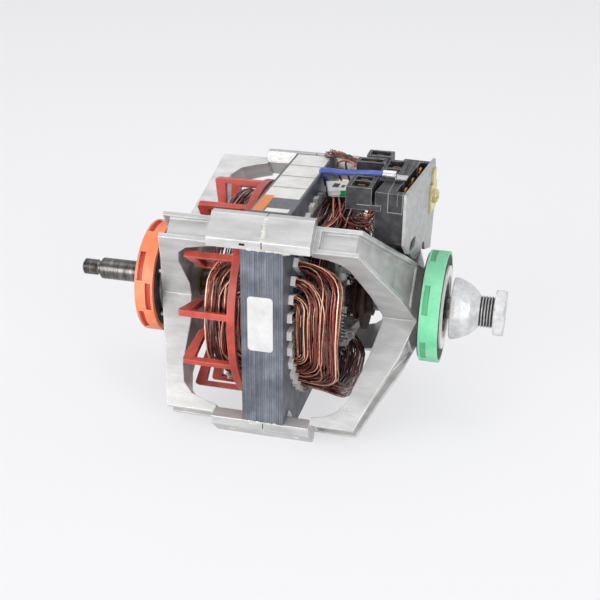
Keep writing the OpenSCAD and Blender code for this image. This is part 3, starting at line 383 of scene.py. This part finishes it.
# Moulded acetal: bright satin plastic with pale edges, partly worn and partly a painted highlight, and
# painted shade inside the rings' pockets
ORANGE = finish("moulded_acetal_orange", ("#ec7548", "#fa976c"), metallic=0.0, roughness=(0.36, 0.5),
                tone_mm=14, grain_mm=0.6, relief_mm=0.03, edge_mm=0.5, worn="#ffd9c8")
painted_shade_within(ORANGE, radius_mm=31.6, low_mm=-82.7, high_mm=-74.7, share=(0.62, 0.2, 0.16))
GREEN = finish("moulded_acetal_green", ("#6ac795", "#8cdbb0"), metallic=0.0, roughness=(0.36, 0.5),
               tone_mm=14, grain_mm=0.6, relief_mm=0.03, edge_mm=0.5, worn="#c8ffe2")
painted_shade_within(GREEN, radius_mm=30.6, low_mm=77.3, high_mm=80.4, share=(0.5, 0.66, 0.56))
# Moulded nitrile rubber: soft black without a highlight
RUBBER = finish("nitrile_rubber", ("#232427", "#38393c"), metallic=0.0, roughness=(0.6, 0.8),
                tone_mm=6, grain_mm=0.5, relief_mm=0.05, edge_mm=0.6)
# Moulded phenolic: near black, clouded by its flow, with chalky edges that are partly worn and partly a
# painted highlight, and pale lines painted along its tower edges, partly scuffs and partly painted highlight
PHENOLIC = finish("moulded_phenolic_black", ("#1a1a1c", "#434346"), metallic=0.0, roughness=(0.35, 0.6),
                  tone_mm=5, grain_mm=0.5, relief_mm=0.08, edge_mm=0.45, swell_mm=0.2, worn="#c9c9c9")
# The pale lines are painted highlights along the terminal towers' edges, standing partly for scuffs
marked(PHENOLIC, [
    ("X", 56.3, 56.7, "Z", 63, 73.2, "#8f8f8f"), ("X", 63.9, 64.3, "Z", 62.2, 73.2, "#8f8f8f"),
    ("X", 56.3, 64.3, "Z", 62.6, 63, "#8f8f8f"), ("X", 61.2, 61.5, "Z", 66.5, 73.2, "#777777"),
    ("X", 40.5, 47.5, "Z", 65.6, 66, "#9a9a9a")])
# Ground steel under a film of oil: dark, with narrow highlights and faint bands about the shaft, 3 mm wide
SHAFT = finish("ground_shaft_steel", ("#4b4847", "#8b8785"), metallic=0.95, roughness=(0.2, 0.34),
               tone_mm=16, grain_mm=0.7, relief_mm=0.006, stretch=(6, 1, 1))
# Turned steel under dull plating: pale, with a wide blurred shine, and painted shade down in its neck's
# grooves
PULLEY = finish("plated_turned_steel", ("#c0c1c3", "#e6e6e6"), metallic=0.5, roughness=(0.42, 0.6),
                tone_mm=5, grain_mm=0.6, relief_mm=0.06, edge_mm=0.4)
painted_shade_within(PULLEY, radius_mm=8.55, low_mm=105.4, high_mm=113.6, share=(0.12, 0.12, 0.12))
# Moulded phenolic with wood flour: streaky tan, half dull
CARRIER = finish("moulded_phenolic_tan", ("#4a2f1a", "#8a6236"), metallic=0.0, roughness=(0.35, 0.55),
                 tone_mm=4, grain_mm=0.5, relief_mm=0.06, edge_mm=0.3)
# Rolled brass strip: dark yellow metal with a clear shine
BRASS = finish("brass_strip", ("#866029", "#b98d4c"), metallic=0.95, roughness=(0.25, 0.4),
               tone_mm=4, grain_mm=0.6, relief_mm=0.02)
# Steel under yellow passivated zinc: pale gold, cloudy from one millimetre to the next
YELLOW_ZINC = finish("yellow_zinc_steel", ("#cdbd80", "#efe6bc"), metallic=0.7, roughness=(0.28, 0.45),
                     tone_mm=3, grain_mm=0.5, relief_mm=0.02)
# Sintered bronze: brown gold, dulled by its pores
BRONZE = finish("sintered_bronze", ("#8c6b3d", "#b48e57"), metallic=0.9, roughness=(0.4, 0.6),
                tone_mm=3, grain_mm=0.3, relief_mm=0.04)
# Pressed wool felt with oil in it: dark brown, matt and rough
FELT = finish("oiled_felt", ("#3a2f25", "#6a5640"), metallic=0.0, roughness=(0.85, 1.0),
              tone_mm=3, grain_mm=0.4, relief_mm=0.2)
# Poured epoxy: milky and uneven, with a wet gloss
RESIN = finish("epoxy_resin", ("#b4b4aa", "#dcdcd6"), metallic=0.0, roughness=(0.25, 0.5),
               tone_mm=3, grain_mm=1.2, relief_mm=0.25, coat=0.3)
# Moulded nylon, undyed: warm cream with a dull satin skin
CREAM = finish("moulded_nylon_cream", ("#ddd2c2", "#f0e8dc"), metallic=0.0, roughness=(0.4, 0.55),
               tone_mm=8, grain_mm=0.6, relief_mm=0.03, edge_mm=0.4)
# Moulded polyester case: satin white over a black lower half, with a green band, and two dark fields that are
# painted shade where its openings are
PROTECTOR = finish("protector_case_plastic", ("#dededb", "#f4f4f1"), metallic=0.0, roughness=(0.35, 0.5),
                   tone_mm=6, grain_mm=0.6, relief_mm=0.03, edge_mm=0.5)
# The two dark fields in X and Y are painted shade, standing for the openings in the case
marked(PROTECTOR, [
    ("Z", 50, 58.2, "Y", -5, 25, "#1d1d1f"), ("X", 25.3, 31, "Z", 58.4, 61.2, "#1fa257"),
    ("X", 19.5, 23, "Y", 7, 13.5, "#2c2521"), ("X", 24.3, 26.2, "Y", 7.5, 12, "#4a4038")])
# Moulded phenolic, polished by sliding: dark brown with a smooth shine
SPOOL = finish("moulded_phenolic_brown", ("#241c1a", "#57392c"), metallic=0.0, roughness=(0.25, 0.45),
               tone_mm=6, grain_mm=0.6, relief_mm=0.03, edge_mm=0.4)
# Extruded cross-linked insulation: an even blue with a half gloss
BLUE = finish("blue_cross_linked_insulation", ("#3a4b92", "#586bb2"), metallic=0.0, roughness=(0.35, 0.45),
              tone_mm=6, grain_mm=1.0, relief_mm=0.03)
# Drawn steel with a burnished face: nearly white, with a soft shine
SLEEVE = finish("drawn_steel_sleeve", ("#e4e0da", "#faf7f2"), metallic=0.2, roughness=(0.35, 0.5),
                tone_mm=6, grain_mm=0.8, relief_mm=0.03)
# Tinned brass: bright silver that mirrors what is near
TINNED = finish("tinned_brass", ("#c4c5c6", "#ececec"), metallic=0.9, roughness=(0.22, 0.4),
                tone_mm=2, grain_mm=0.5, relief_mm=0.03)
# Drawn spring wire: bluish grey with a bright line along each curl
SPRING = finish("spring_steel_wire", ("#8e9094", "#c2c4c6"), metallic=0.95, roughness=(0.25, 0.35),
                tone_mm=3, grain_mm=0.5, relief_mm=0.01)
# Punched silicon steel: blue grey sheets edge on, each a little lighter or darker than the next
STACK = laminated("blued_silicon_steel", ("#5c616b", "#888d98"))
ROTOR_STEEL = laminated("rotor_silicon_steel", ("#45484e", "#666a70"))
# Enamelled copper: glossy strands from near black over red brown to a pale copper, the pale strands partly
# painted highlights and the near black ones partly painted shade, with painted shade in the gaps
MAIN_WIRE = wire_enamel("enamelled_copper_main", ("#0d0303", "#8f3620", "#fcbb9c"))
START_WIRE = wire_enamel("enamelled_copper_start", ("#0d0403", "#5d2417", "#d08a6c"))
# Printed film: a plain white label on the side, and one in white, grey and orange with tan lines on top
SIDE_LABEL = label_film("white_label_film", "#dadad9")
TOP_LABEL = label_film("printed_label_film", "#6d7073", [
    ("X", -9.7, 9.7, "Y", -27, 47.5, "#efeeeb"),
    ("X", -9.7, 9.7, "Y", -10.8, -9.6, "#a59478"),
    ("X", -9.7, 9.7, "Y", 8, 9.2, "#a59478"),
    ("X", -9.7, 9.7, "Y", 27.2, 28.4, "#a59478"),
    ("X", -9.9, -4.2, "Y", -47.5, -24, "#f08a44"),
    ("X", -4.2, 10, "Y", -42.5, -27, "#63666a"),
    ("X", -3.2, 9, "Y", -47.5, -42.5, "#f2f1ee")])


# Surfaces
def surface(name, points, faces, material, body, uv=None):
    """Mesh from points in mm of the stack's frame and arrays of faces; uv is one pair for each point. A piece
    that bends between two bodies has None for its body."""
    mesh = bpy.data.meshes.new(name)
    mesh.vertices.add(len(points))
    mesh.vertices.foreach_set("co", ((points + STACK_TO_FRAME) / 1000).ravel())
    corners = np.concatenate([group.ravel() for group in faces])
    sizes = np.concatenate([np.full(len(group), group.shape[1]) for group in faces])
    starts = np.concatenate([[0], np.cumsum(sizes)[:-1]])
    mesh.loops.add(len(corners))
    mesh.loops.foreach_set("vertex_index", corners.astype(np.int32))
    mesh.polygons.add(len(sizes))
    mesh.polygons.foreach_set("loop_start", starts.astype(np.int32))
    mesh.polygons.foreach_set("use_smooth", np.ones(len(sizes), dtype=bool))
    mesh.update(calc_edges=True)
    if uv is not None:
        layer = mesh.uv_layers.new(name="strand")
        layer.data.foreach_set("uv", uv[corners].astype(np.float32).ravel())
    mesh.materials.append(material)
    piece = bpy.data.objects.new(name, mesh)
    scene.collection.objects.link(piece)
    if body:
        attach(piece, body)
    return piece


def grid(*sizes):
    """Index arrays that together run through a grid of these sizes, the last index fastest."""
    return [index.ravel() for index in np.meshgrid(*map(np.arange, sizes), indexing="ij")]


def strands(paths, refs, radius, sides, closed, shades):
    """Round wires along paths, an array of wire, point and xyz. Each ring lies across the path, its first
    spoke u as near to ref as it can be and v square to it: p + radius (cos a * u + sin a * v). Returns
    points, faces and uv, which holds the length run and the wire's shade."""
    wires, count = paths.shape[:2]
    if closed:
        run = np.roll(paths, -1, 1) - np.roll(paths, 1, 1)
    else:
        run = np.gradient(paths, axis=1)
    run /= np.linalg.norm(run, axis=2, keepdims=True)
    u = refs - np.sum(refs * run, axis=2, keepdims=True) * run
    u /= np.linalg.norm(u, axis=2, keepdims=True)
    v = np.cross(run, u)
    a = np.arange(sides) * 2 * np.pi / sides
    spokes = np.cos(a)[:, None] * u[:, :, None, :] + np.sin(a)[:, None] * v[:, :, None, :]
    points = paths[:, :, None, :] + radius * spokes
    ring, side = grid(count if closed else count - 1, sides)
    after, beside = (ring + 1) % count, (side + 1) % sides
    quads = np.stack([ring * sides + side, ring * sides + beside, after * sides + beside,
                      after * sides + side], 1)
    start = np.arange(wires)[:, None, None] * count * sides
    faces = [(quads[None] + start).reshape(-1, 4)]
    if not closed:
        fan = np.arange(1, sides - 1)
        first = np.stack([0 * fan, fan + 1, fan], 1)
        last = (count - 1) * sides + np.stack([0 * fan, fan, fan + 1], 1)
        faces.append((np.concatenate([first, last])[None] + start).reshape(-1, 3))
    length = np.cumsum(np.linalg.norm(np.diff(paths, axis=1, prepend=paths[:, :1]), axis=2), axis=1)
    uv = np.stack([length / STRAND_UNIT, np.broadcast_to(np.asarray(shades)[:, None], length.shape)], -1)
    return points.reshape(-1, 3), faces, np.repeat(uv.reshape(-1, 2), sides, axis=0)


def smooth_path(route, steps=8):
    """Catmull-Rom curve through the route's points, steps points for each stretch."""
    p = np.asarray(route, dtype=float)
    p = np.concatenate([p[:1], p, p[-1:]])
    s = (np.arange(steps) / steps)[None, :, None]
    a, b, c, d = (p[i:len(p) - 3 + i, None, :] for i in range(4))
    inner = 0.5 * (2 * b + (c - a) * s + (2 * a - 5 * b + 4 * c - d) * s ** 2
                   + (3 * b - a - 3 * c + d) * s ** 3)
    return np.concatenate([inner.reshape(-1, 3), p[-1:]])


def turned_about_x(points, degrees):
    """Points turned about the shaft's axis."""
    c, s = math.cos(math.radians(degrees)), math.sin(math.radians(degrees))
    return points @ np.array([[1, 0, 0], [0, c, -s], [0, s, c]]).T


def about_shaft(along, radius, angle):
    """Points from a place along the shaft, a distance from it and an angle from straight up:
    x, radius sin a, radius cos a."""
    return np.stack([along, radius * np.sin(angle), radius * np.cos(angle)], -1)


def wander(wires, count, size, knots):
    """Smooth random drift along each wire: random values at a few knots, eased between, nil at both ends."""
    values = chance.normal(0, size, (wires, knots))
    values[:, [0, -1]] = 0
    at = np.linspace(0, knots - 1, count)
    low = np.minimum(at.astype(int), knots - 2)
    share = at - low
    share = share * share * (3 - 2 * share)
    return values[:, low] * (1 - share) + values[:, low + 1] * share


def strand_shades(mean, spread, wires):
    """One shade for each wire, drawn about the mean and kept from 0 to 1."""
    return np.clip(mean + chance.normal(0, spread, wires), 0, 1)


# Windings
def end_turns(width, height, corner):
    """Half loops for arrays of wires: from (width, 0) out to height, round two quarter circles of radius
    corner and back to (-width, 0). Returns across and out, each wire by point."""
    arc = np.radians(np.array([0, 15, 32, 50, 68, 84]))
    w, h, r = (np.asarray(v)[:, None] for v in (width, height, corner))
    rise = np.array([0.0, 0.55])
    flat = np.array([0.75, 0.38, 0.0])
    across = np.concatenate([np.repeat(w, 2, 1), w - r + r * np.cos(arc), (w - r) * flat], 1)
    out = np.concatenate([(h - r) * rise, h - r + r * np.sin(arc), np.repeat(h, 3, 1)], 1)
    return np.concatenate([across, -across[:, -2::-1]], 1), np.concatenate([out, out[:, -2::-1]], 1)


def main_coil(name, turn, painted_light_level, layers=7, places=6):
    """One pole's coils strand by strand. Three groups lie in slots 40, 30 and 20 degrees to each side; a
    wire keeps its layer's distance from the axis, and its loops outside the stack are bent round the axis.
    brightness is the mean shade, and is painted light and shade: paler for the near coil, which faces the
    lamps, and darker for the coils that the pads and brackets shade."""
    slot_angles = np.radians(np.array([40.0, 30.0, 20.0]))
    first_layer, layer_pitch, wire_pitch, outermost = 46.2, 1.17, 0.72, 53.3
    group, layer, place = grid(3, layers, places)
    wires = len(group)
    radius = first_layer + layer_pitch * layer + chance.normal(0, 0.1, wires)
    aside = (place - 2.5) * wire_pitch + chance.normal(0, 0.1, wires)
    staggered = (place + 0.5 * (layer % 2)) / (places - 0.5)
    share = np.clip(staggered + chance.normal(0, 0.07, wires), 0, 1)
    width = radius * slot_angles[group] + aside
    loops = []
    # For each end: its side, the groups' lowest loops and how much they spread, corner radius and flare
    for end, low, spread, rounding, flare in ((1, (18.4, 11.0, 4.6), (8.2, 7.4, 6.4), 15.0, 4.2),
                                              (-1, (15.8, 9.6, 4.2), (7.4, 6.0, 5.0), 16.0, 2.4)):
        height = np.array(low)[group] + share * np.array(spread)[group] + chance.normal(0, 0.3, wires)
        corner = np.minimum(np.minimum(height - 1.2, width - 2), rounding + chance.normal(0, 0.9, wires))
        across, rise = end_turns(width, height, corner)
        count = across.shape[1]
        rise = rise + wander(wires, count, 0.75, 6) * np.clip(rise / 4, 0, 1)
        across = across + wander(wires, count, 0.65, 7)
        lift = flare * np.clip(rise / 26, 0, 1) ** 1.5
        reach = np.minimum(radius[:, None] + wander(wires, count, 0.6, 8), outermost) + lift
        loops.append(about_shaft(end * (HALF_STACK + rise), reach, end * across / reach))
    paths = np.concatenate(loops, 1)
    # Outer layers are a little paler than inner ones
    shades = np.clip(painted_light_level + chance.normal(0, 0.32, wires) + 0.05 * (layer - 3), 0, 1)
    points, faces, uv = strands(paths, paths * [0, 1, 1], MAIN_RADIUS, 6, True, shades)
    coil = surface(name + "_strands", turned_about_x(points, turn), faces, MAIN_WIRE, "frame", uv)
    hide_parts(name)


def start_coil(name, turn):
    """One pole's start coils: finer wire nearer the bore, in slots 35 and 25 degrees to each side, with loops
    bent round the bore's curve."""
    first_layer, layer_pitch, wire_pitch = 41.7, 0.95, 0.95
    group, layer, place = grid(2, 3, 4)
    wires = len(group)
    angle = np.array([35.0, 25.0])[group]
    low = np.array([11.0, 5.4])[group]
    radius = first_layer + layer_pitch * layer
    width = radius * np.radians(angle) + (place - 1.5) * wire_pitch + chance.normal(0, 0.1, wires)
    loops = []
    for end in (1, -1):
        height = low + (place + 0.5 * (layer % 2)) / 3.5 * 4.6 + chance.normal(0, 0.2, wires)
        corner = np.minimum(np.minimum(height - 1, width - 2), 8.0)
        across, rise = end_turns(width, height, corner)
        count = across.shape[1]
        rise = rise + wander(wires, count, 0.35, 6) * np.clip(rise / 4, 0, 1)
        bend = end * across / radius[:, None]
        reach = radius[:, None] + wander(wires, count, 0.15, 6)
        loops.append(about_shaft(end * (HALF_STACK + rise), reach, bend))
    paths = np.concatenate(loops, 1)
    shades = strand_shades(0.5, 0.22, wires)
    points, faces, uv = strands(paths, paths * [0, 1, 1], START_RADIUS, 6, True, shades)
    coil = surface(name + "_strands", turned_about_x(points, turn), faces, START_WIRE, "frame",
                   uv)
    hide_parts(name)


def windings():
    """Four main coils, from the top one round, each with the start coil that lies 45 degrees further."""
    # Mean shades of the coils, painted light and shade: the near coil painted lit, the top, bottom and far
    # ones painted in shade
    coils = (("top", 0, 0.25), ("near", 90, 0.46), ("bottom", 180, 0.27), ("far", 270, 0.36))
    for side, turn, painted_light_level in coils:
        main_coil(side + "_main_winding", turn, painted_light_level)
        start_coil(side + "_start_winding", turn + 45)


# Leads and springs
def lead(name, node, routes, width, sides, material, ref=(0.2, 0.1, 1.0)):
    """Round leads, width across, along smooth curves through their route points."""
    points, faces, uv, first = [], [[], []], [], 0
    for route in routes:
        path = smooth_path(route)[None]
        refs = np.broadcast_to(np.array(ref), path.shape)
        p, f, t = strands(path, refs, width / 2, sides, False, [chance.uniform(0.25, 0.6)])
        points.append(p)
        uv.append(t)
        for kind, group in zip(faces, f):
            kind.append(group + first)
        first += len(p)
    made = surface(name, np.concatenate(points), [np.concatenate(kind) for kind in faces], material,
                   "frame", np.concatenate(uv))
    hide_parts(node)


def flyweight_spring(name, turn):
    """Close-wound tension spring with a hook at each end: a helix whose first and last turns stand up. It is
    put on no body, and its turn is baked into its points."""
    x, aside, low, high = 30.8, 11.8, 3.0, 23.2
    mean_radius, wire_radius, curls, hook = 2.3, 0.4, 7, 2.4
    t = np.linspace(0, 1, 12 * curls + 1)
    a = 2 * np.pi * curls * t
    coils = np.stack([x + mean_radius * np.sin(a), aside + mean_radius * np.cos(a),
                      low + hook + (high - low - 2 * hook) * t], 1)
    foot = [[x, aside, low], [x, aside + 0.1, low + 0.7], [x, aside + 1, low + 1.6]]
    top = [[x, aside + 1, high - 1.6], [x, aside + 0.1, high - 0.7], [x, aside, high]]
    path = np.concatenate([foot, coils, top])[None]
    axis = path - [x, aside, 0]
    off_axis = np.abs(axis[:, :, :1]) + np.abs(axis[:, :, 1:2]) > 0.5
    refs = np.where(off_axis, axis * [1, 1, 0] + [0, 0, 0.001], np.array([1.0, 0.3, 0.0]))
    points, faces, _ = strands(path, refs, wire_radius, 8, False, [0.5])
    made = surface(name + "_turns", turned_about_x(points, turn), faces, SPRING, None)
    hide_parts(name)
    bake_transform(made)


def contact_spring():
    """Upright helix under the moving contact: five curls of brass wire about (x, y), from low up."""
    x, y, low, height = 53.5, 16, 68.5, 4.1
    mean_radius, wire_radius, curls = 2.15, 0.42, 5
    t = np.linspace(0, 1, 17 * curls)
    a = 2 * np.pi * curls * t
    path = np.stack([x + mean_radius * np.cos(a), y + mean_radius * np.sin(a), low + height * t], 1)[None]
    refs = (path - [x, y, 0]) * [1, 1, 0]
    points, faces, _ = strands(path, refs, wire_radius, 8, False, [0.5])
    made = surface("contact_coil", points, faces, BRASS, "frame")
    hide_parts("contact_spring")


def leads():
    """The insulated lead, the bare winding leads, the contact spring and the flyweight springs."""
    blue = [[14.6, 17.6, 58], [13.6, 18.5, 61], [12.9, 15, 65.5], [13, 10, 69], [17, 6, 70.8], [26, 0, 72.6],
            [36, -4.6, 74.6], [44, -6.6, 75.9], [52, -7, 76]]
    lead("blue_lead_insulation", "blue_lead", [blue], width=3.2, sides=20, material=BLUE,
         ref=(0.3, 1.0, 0.2))
    bare = [
        [[24, 35.2, 41.9], [20, 36, 52], [17, 34, 61], [18, 30, 67.5], [22, 25, 71], [27, 20, 72],
         [31, 18, 71]],
        [[28, 34.4, 42.6], [24, 38, 52], [21, 38, 62], [22, 34, 68], [27, 30, 71], [31, 27, 71],
         [35.2, 26, 71]],
        [[21.95, -0.3, 57.4], [22.8, -3, 57.8], [23.6, -7, 57], [24.8, -12, 54.4], [26, -17, 52.4]],
        [[24.8, 0.6, 57.4], [25.6, -2, 57.8], [26.8, -6, 57], [28.4, -11, 54.6], [30, -16, 52.7]]]
    lead("bare_winding_leads", "winding_leads", bare, width=1.4, sides=12, material=MAIN_WIRE)
    contact_spring()
    flyweight_spring("upper_spring", 0)
    flyweight_spring("lower_spring", 180)


# Loose wires
def bundle(name, route, wires, wide, narrow):
    """Loose wires twisted about a common route: each lies 5.5 t further round it, at a distance that goes
    from wide to narrow, with t from 0 to 1 along the route."""
    route = smooth_path(route)
    count = len(route)
    t = np.linspace(0, 1, count)
    twist = np.arange(wires)[:, None] * 2 * np.pi / wires + 5.5 * t
    uneven = 1 + 0.25 * chance.normal(0, 1, (wires, 1))
    spread = (wide + (narrow - wide) * t) * uneven + wander(wires, count, 0.5, 6)
    level, upright = 0.7 * spread * np.cos(twist), 0.8 * spread * np.sin(twist)
    paths = route[None] + np.stack([level, level, upright], -1)
    shades = strand_shades(0.24, 0.26, wires)
    refs = np.broadcast_to([0.1, 0.1, 1.0], paths.shape)
    points, faces, uv = strands(paths, refs, LOOSE_RADIUS, 6, False, shades)
    surface(name, points, faces, MAIN_WIRE, "frame", uv)


def pole_crossovers(wires=16):
    """Wires that lead from pole to pole at the blower end: an arc of 34 degrees about the shaft over each
    diagonal, 50.3 mm from the axis, that bows 4.5 (1 - t * t) mm outwards, with t from -1 to 1."""
    count = 15
    t = np.linspace(-1, 1, count)
    every = len(DIAGONALS) * wires
    away = 50.3 + chance.uniform(-1.7, 1.7, (every, 1)) + wander(every, count, 0.5, 5)
    bowed = -24.5 - 4.5 * (1 - t * t)
    along = bowed + chance.uniform(-4.6, 4.6, (every, 1)) + wander(every, count, 0.5, 5)
    paths = about_shaft(along, away, np.radians(17) * t).reshape(len(DIAGONALS), wires, count, 3)
    paths = np.concatenate([turned_about_x(group, turn) for group, turn in zip(paths, DIAGONALS)])
    shades = strand_shades(0.35, 0.3, every)
    refs = np.broadcast_to([1.0, 0.1, 0.1], paths.shape)
    points, faces, uv = strands(paths, refs, CROSSOVER_RADIUS, 6, False, shades)
    surface("pole_crossovers", points, faces, MAIN_WIRE, "frame", uv)


def loose_wires():
    """Wire ends gathered over the stack's far corner, and those that rise from the top coil to the switch."""
    corner = [[8, 47, 66.5], [13, 44, 68.5], [18, 38, 70], [23, 33, 70.5], [27, 29, 70], [30.5, 27.5, 69.5]]
    bundle("gathered_wire_ends", corner, wires=12, wide=2.3, narrow=1.1)
    riser = [[30, -14, 50.5], [36, -18, 52.5], [41, -21.5, 54.5], [45.2, -24, 57.2], [47.6, -26, 60.4],
             [48.4, -27, 63.5]]
    bundle("switch_wire_ends", riser, wires=16, wide=3.0, narrow=2.4)
    pole_crossovers()


# Switch
def on_switch(depth, across, height):
    """Points given in the switch's own frame: depth from the plate, below zero on the stack's side of it,
    distance along it and height. The plate stands 5.5 degrees askew."""
    plate_x, plate_y = 66.5, -30
    turn = math.radians(-5.5)
    return np.stack([plate_x + depth * math.cos(turn) - across * math.sin(turn),
                     plate_y + depth * math.sin(turn) + across * math.cos(turn), height + 0 * depth], -1)


def contact_carrier():
    """Moulded carrier in the switch's trough, a stepped bar of one thickness. Its outline goes along the
    steps and back under them."""
    across = np.array([6.3, 14, 14.3, 19, 19.3, 28, 28.3, 33, 33.3, 44, 44.3, 50, 50.3, 56.6, 56.6, 6.3])
    height = np.array([64.0, 64, 68, 68, 65, 65, 69, 69, 66, 66, 69.5, 69.5, 65, 65, 58.3, 58.3])
    front, back = -2.5, -6.9
    count = len(across)
    points = np.concatenate([on_switch(np.full(count, depth), across, height) for depth in (front, back)])
    i = np.arange(count)
    after = (i + 1) % count
    sides = np.stack([i, i + count, after + count, after], 1)
    made = surface("contact_carrier", points, [sides, i[None], (i[::-1] + count)[None]], CARRIER, "frame")
    made.data.polygons.foreach_set("use_smooth", [False] * len(made.data.polygons))


def bent_contacts():
    """Three brass wires over the carrier, each up, round a half circle and down again."""
    depth, bend_radius, whole_height, wire_radius = -4.7, 2.4, 4.4, 0.75
    a = np.linspace(0, np.pi, 17)
    out = np.concatenate([[bend_radius], bend_radius * np.cos(a), [-bend_radius]])
    rows = []
    for middle, high in ((47.2, 72.6), (30.6, 72.0), (16.6, 71.2)):
        foot = high - whole_height
        up = np.concatenate([[foot], high - bend_radius + bend_radius * np.sin(a), [foot]])
        rows.append(on_switch(np.full(len(out), depth), middle + out, up))
    paths = np.stack(rows)
    refs = np.broadcast_to([1.0, 0.1, 0.0], paths.shape)
    points, faces, _ = strands(paths, refs, wire_radius, 10, False, [0.5] * len(rows))
    surface("bent_contacts", points, faces, BRASS, "frame")


# Resin
def lump(middle, half, rows=9, sides=16):
    """Closed lump: an ellipsoid of angles a round and b up, whose radius across swells by
    1 + 0.16 cos b (sin 3a + sin (2a + 4b)), with random phases. Returns points and faces."""
    b = np.linspace(-np.pi / 2, np.pi / 2, rows + 2)[1:-1, None]
    a = np.arange(sides)[None] * 2 * np.pi / sides
    p, q = chance.uniform(0, 6.28, 2)
    swell = 1 + 0.16 * (np.sin(3 * a + p) + np.sin(2 * a + 4 * b + q)) * np.cos(b)
    ring = np.stack([swell * np.cos(b) * np.cos(a), swell * np.cos(b) * np.sin(a), np.sin(b) + 0 * a], -1)
    points = np.concatenate([ring.reshape(-1, 3), [[0, 0, -1], [0, 0, 1]]]) * half + middle
    i, j = grid(rows - 1, sides)
    k = (j + 1) % sides
    quads = np.stack([i * sides + j, i * sides + k, (i + 1) * sides + k, (i + 1) * sides + j], 1)
    j, k = np.arange(sides), (np.arange(sides) + 1) % sides
    lower_pole, upper_pole, top = rows * sides, rows * sides + 1, (rows - 1) * sides
    lower = np.stack([k, j, 0 * j + lower_pole], 1)
    upper = np.stack([top + j, top + k, 0 * j + upper_pole], 1)
    return points, quads, np.concatenate([lower, upper])


def resin():
    """Epoxy that holds the brackets' pads on the stack: lumps beside the pads and a smear along each seam.
    A lump's row: turn about the shaft, then middle and half size along X, across and outwards."""
    rows = [(45, x, -9.97, 80.96, 1.7 + chance.uniform(0, 0.9), 0.7, 0.7) for x in np.linspace(-6, 10, 8)]
    rows += [(135, x, 9.97, 80.96, 1.5 + chance.uniform(0, 0.9), 0.7, 0.7) for x in np.linspace(-10, 6, 8)]
    rows += [(45, 12.4, -9.8, 80.4, 2.3, 1.4, 1.4), (135, -5.5, 9.2, 81.4, 2.6, 1.5, 1.2)]
    rows += [(turn, x, 0, 84.3, 2.3, 2.5, 0.7) for turn in DIAGONALS[1:] for x in (-18.5, 17.5)]
    rows += [(turn, 11.4, t, 72.6, 1.1, 2.6, 2.1) for turn in DIAGONALS[:2] for t in (0, 3.4)]
    rows += [(turn, 0.15 + chance.normal(0, 0.15), t, 84.15, 0.8 + chance.uniform(0, 0.7), 1.1, 0.4)
             for turn in DIAGONALS for t in np.linspace(-6.2, 6.2, 8)]
    points, quads, caps, first = [], [], [], 0
    for turn, x, across, out, half_x, half_across, half_out in rows:
        p, f, c = lump(np.array([x, across, out]), np.array([half_x, half_across, half_out]))
        points.append(turned_about_x(p, turn))
        quads.append(f + first)
        caps.append(c + first)
        first += len(p)
    made = surface("epoxy_lumps", np.concatenate(points), [np.concatenate(quads), np.concatenate(caps)],
                   RESIN, "frame")
    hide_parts("epoxy_beads")


# Finishes of the parts whose own shape stays
FINISHES = {
    "stator_core": STACK, "slot_liners": LINER, "winding_guard": GUARD, "blower_end_bracket": DIE_CAST,
    "pulley_end_bracket": DIE_CAST, "blower_end_bearing": BRONZE, "pulley_end_bearing": BRONZE,
    "blower_end_wick": FELT, "pulley_end_wick": FELT, "blower_end_cap": PLATED,
    "pulley_end_cap": PLATED, "blower_cradle_ring": ORANGE,
    "pulley_cradle_ring": GREEN, "blower_rubber_ring": RUBBER, "pulley_rubber_ring": RUBBER,
    "blower_sleeve": SLEEVE, "pulley_sleeve": SLEEVE, "switch_housing": PHENOLIC, "switch_plate": PLATED,
    "switch_terminals": BRASS, "contact_strips": BRASS, "lever_pin": PLATED, "ground_tab": YELLOW_ZINC,
    "ground_screw": YELLOW_ZINC, "lead_terminal": TINNED, "thermal_protector": PROTECTOR,
    "side_label": SIDE_LABEL, "top_label": TOP_LABEL, "shaft": SHAFT, "rotor_core": ROTOR_STEEL,
    "rotor_cage": DIE_CAST, "thrust_washers": BRONZE, "belt_pulley": PULLEY, "actuator_plate": BRIGHT_ZINC,
    "flyweight_pins": PLATED, "actuator_spool": SPOOL, "upper_flyweight": BRIGHT_ZINC,
    "lower_flyweight": BRIGHT_ZINC, "switch_lever": CREAM}


def dress_parts():
    """Gives every part in FINISHES its material, in a slot of its own or in those that it has."""
    for name, material in FINISHES.items():
        part = nodes[name]
        for slot in part.material_slots:
            slot.material = material
        if not part.material_slots:
            part.data.materials.append(material)


place_camera()
paper_sweep()
lamps()
studio_air()
windings()
leads()
loose_wires()
contact_carrier()
bent_contacts()
resin()
dress_parts()
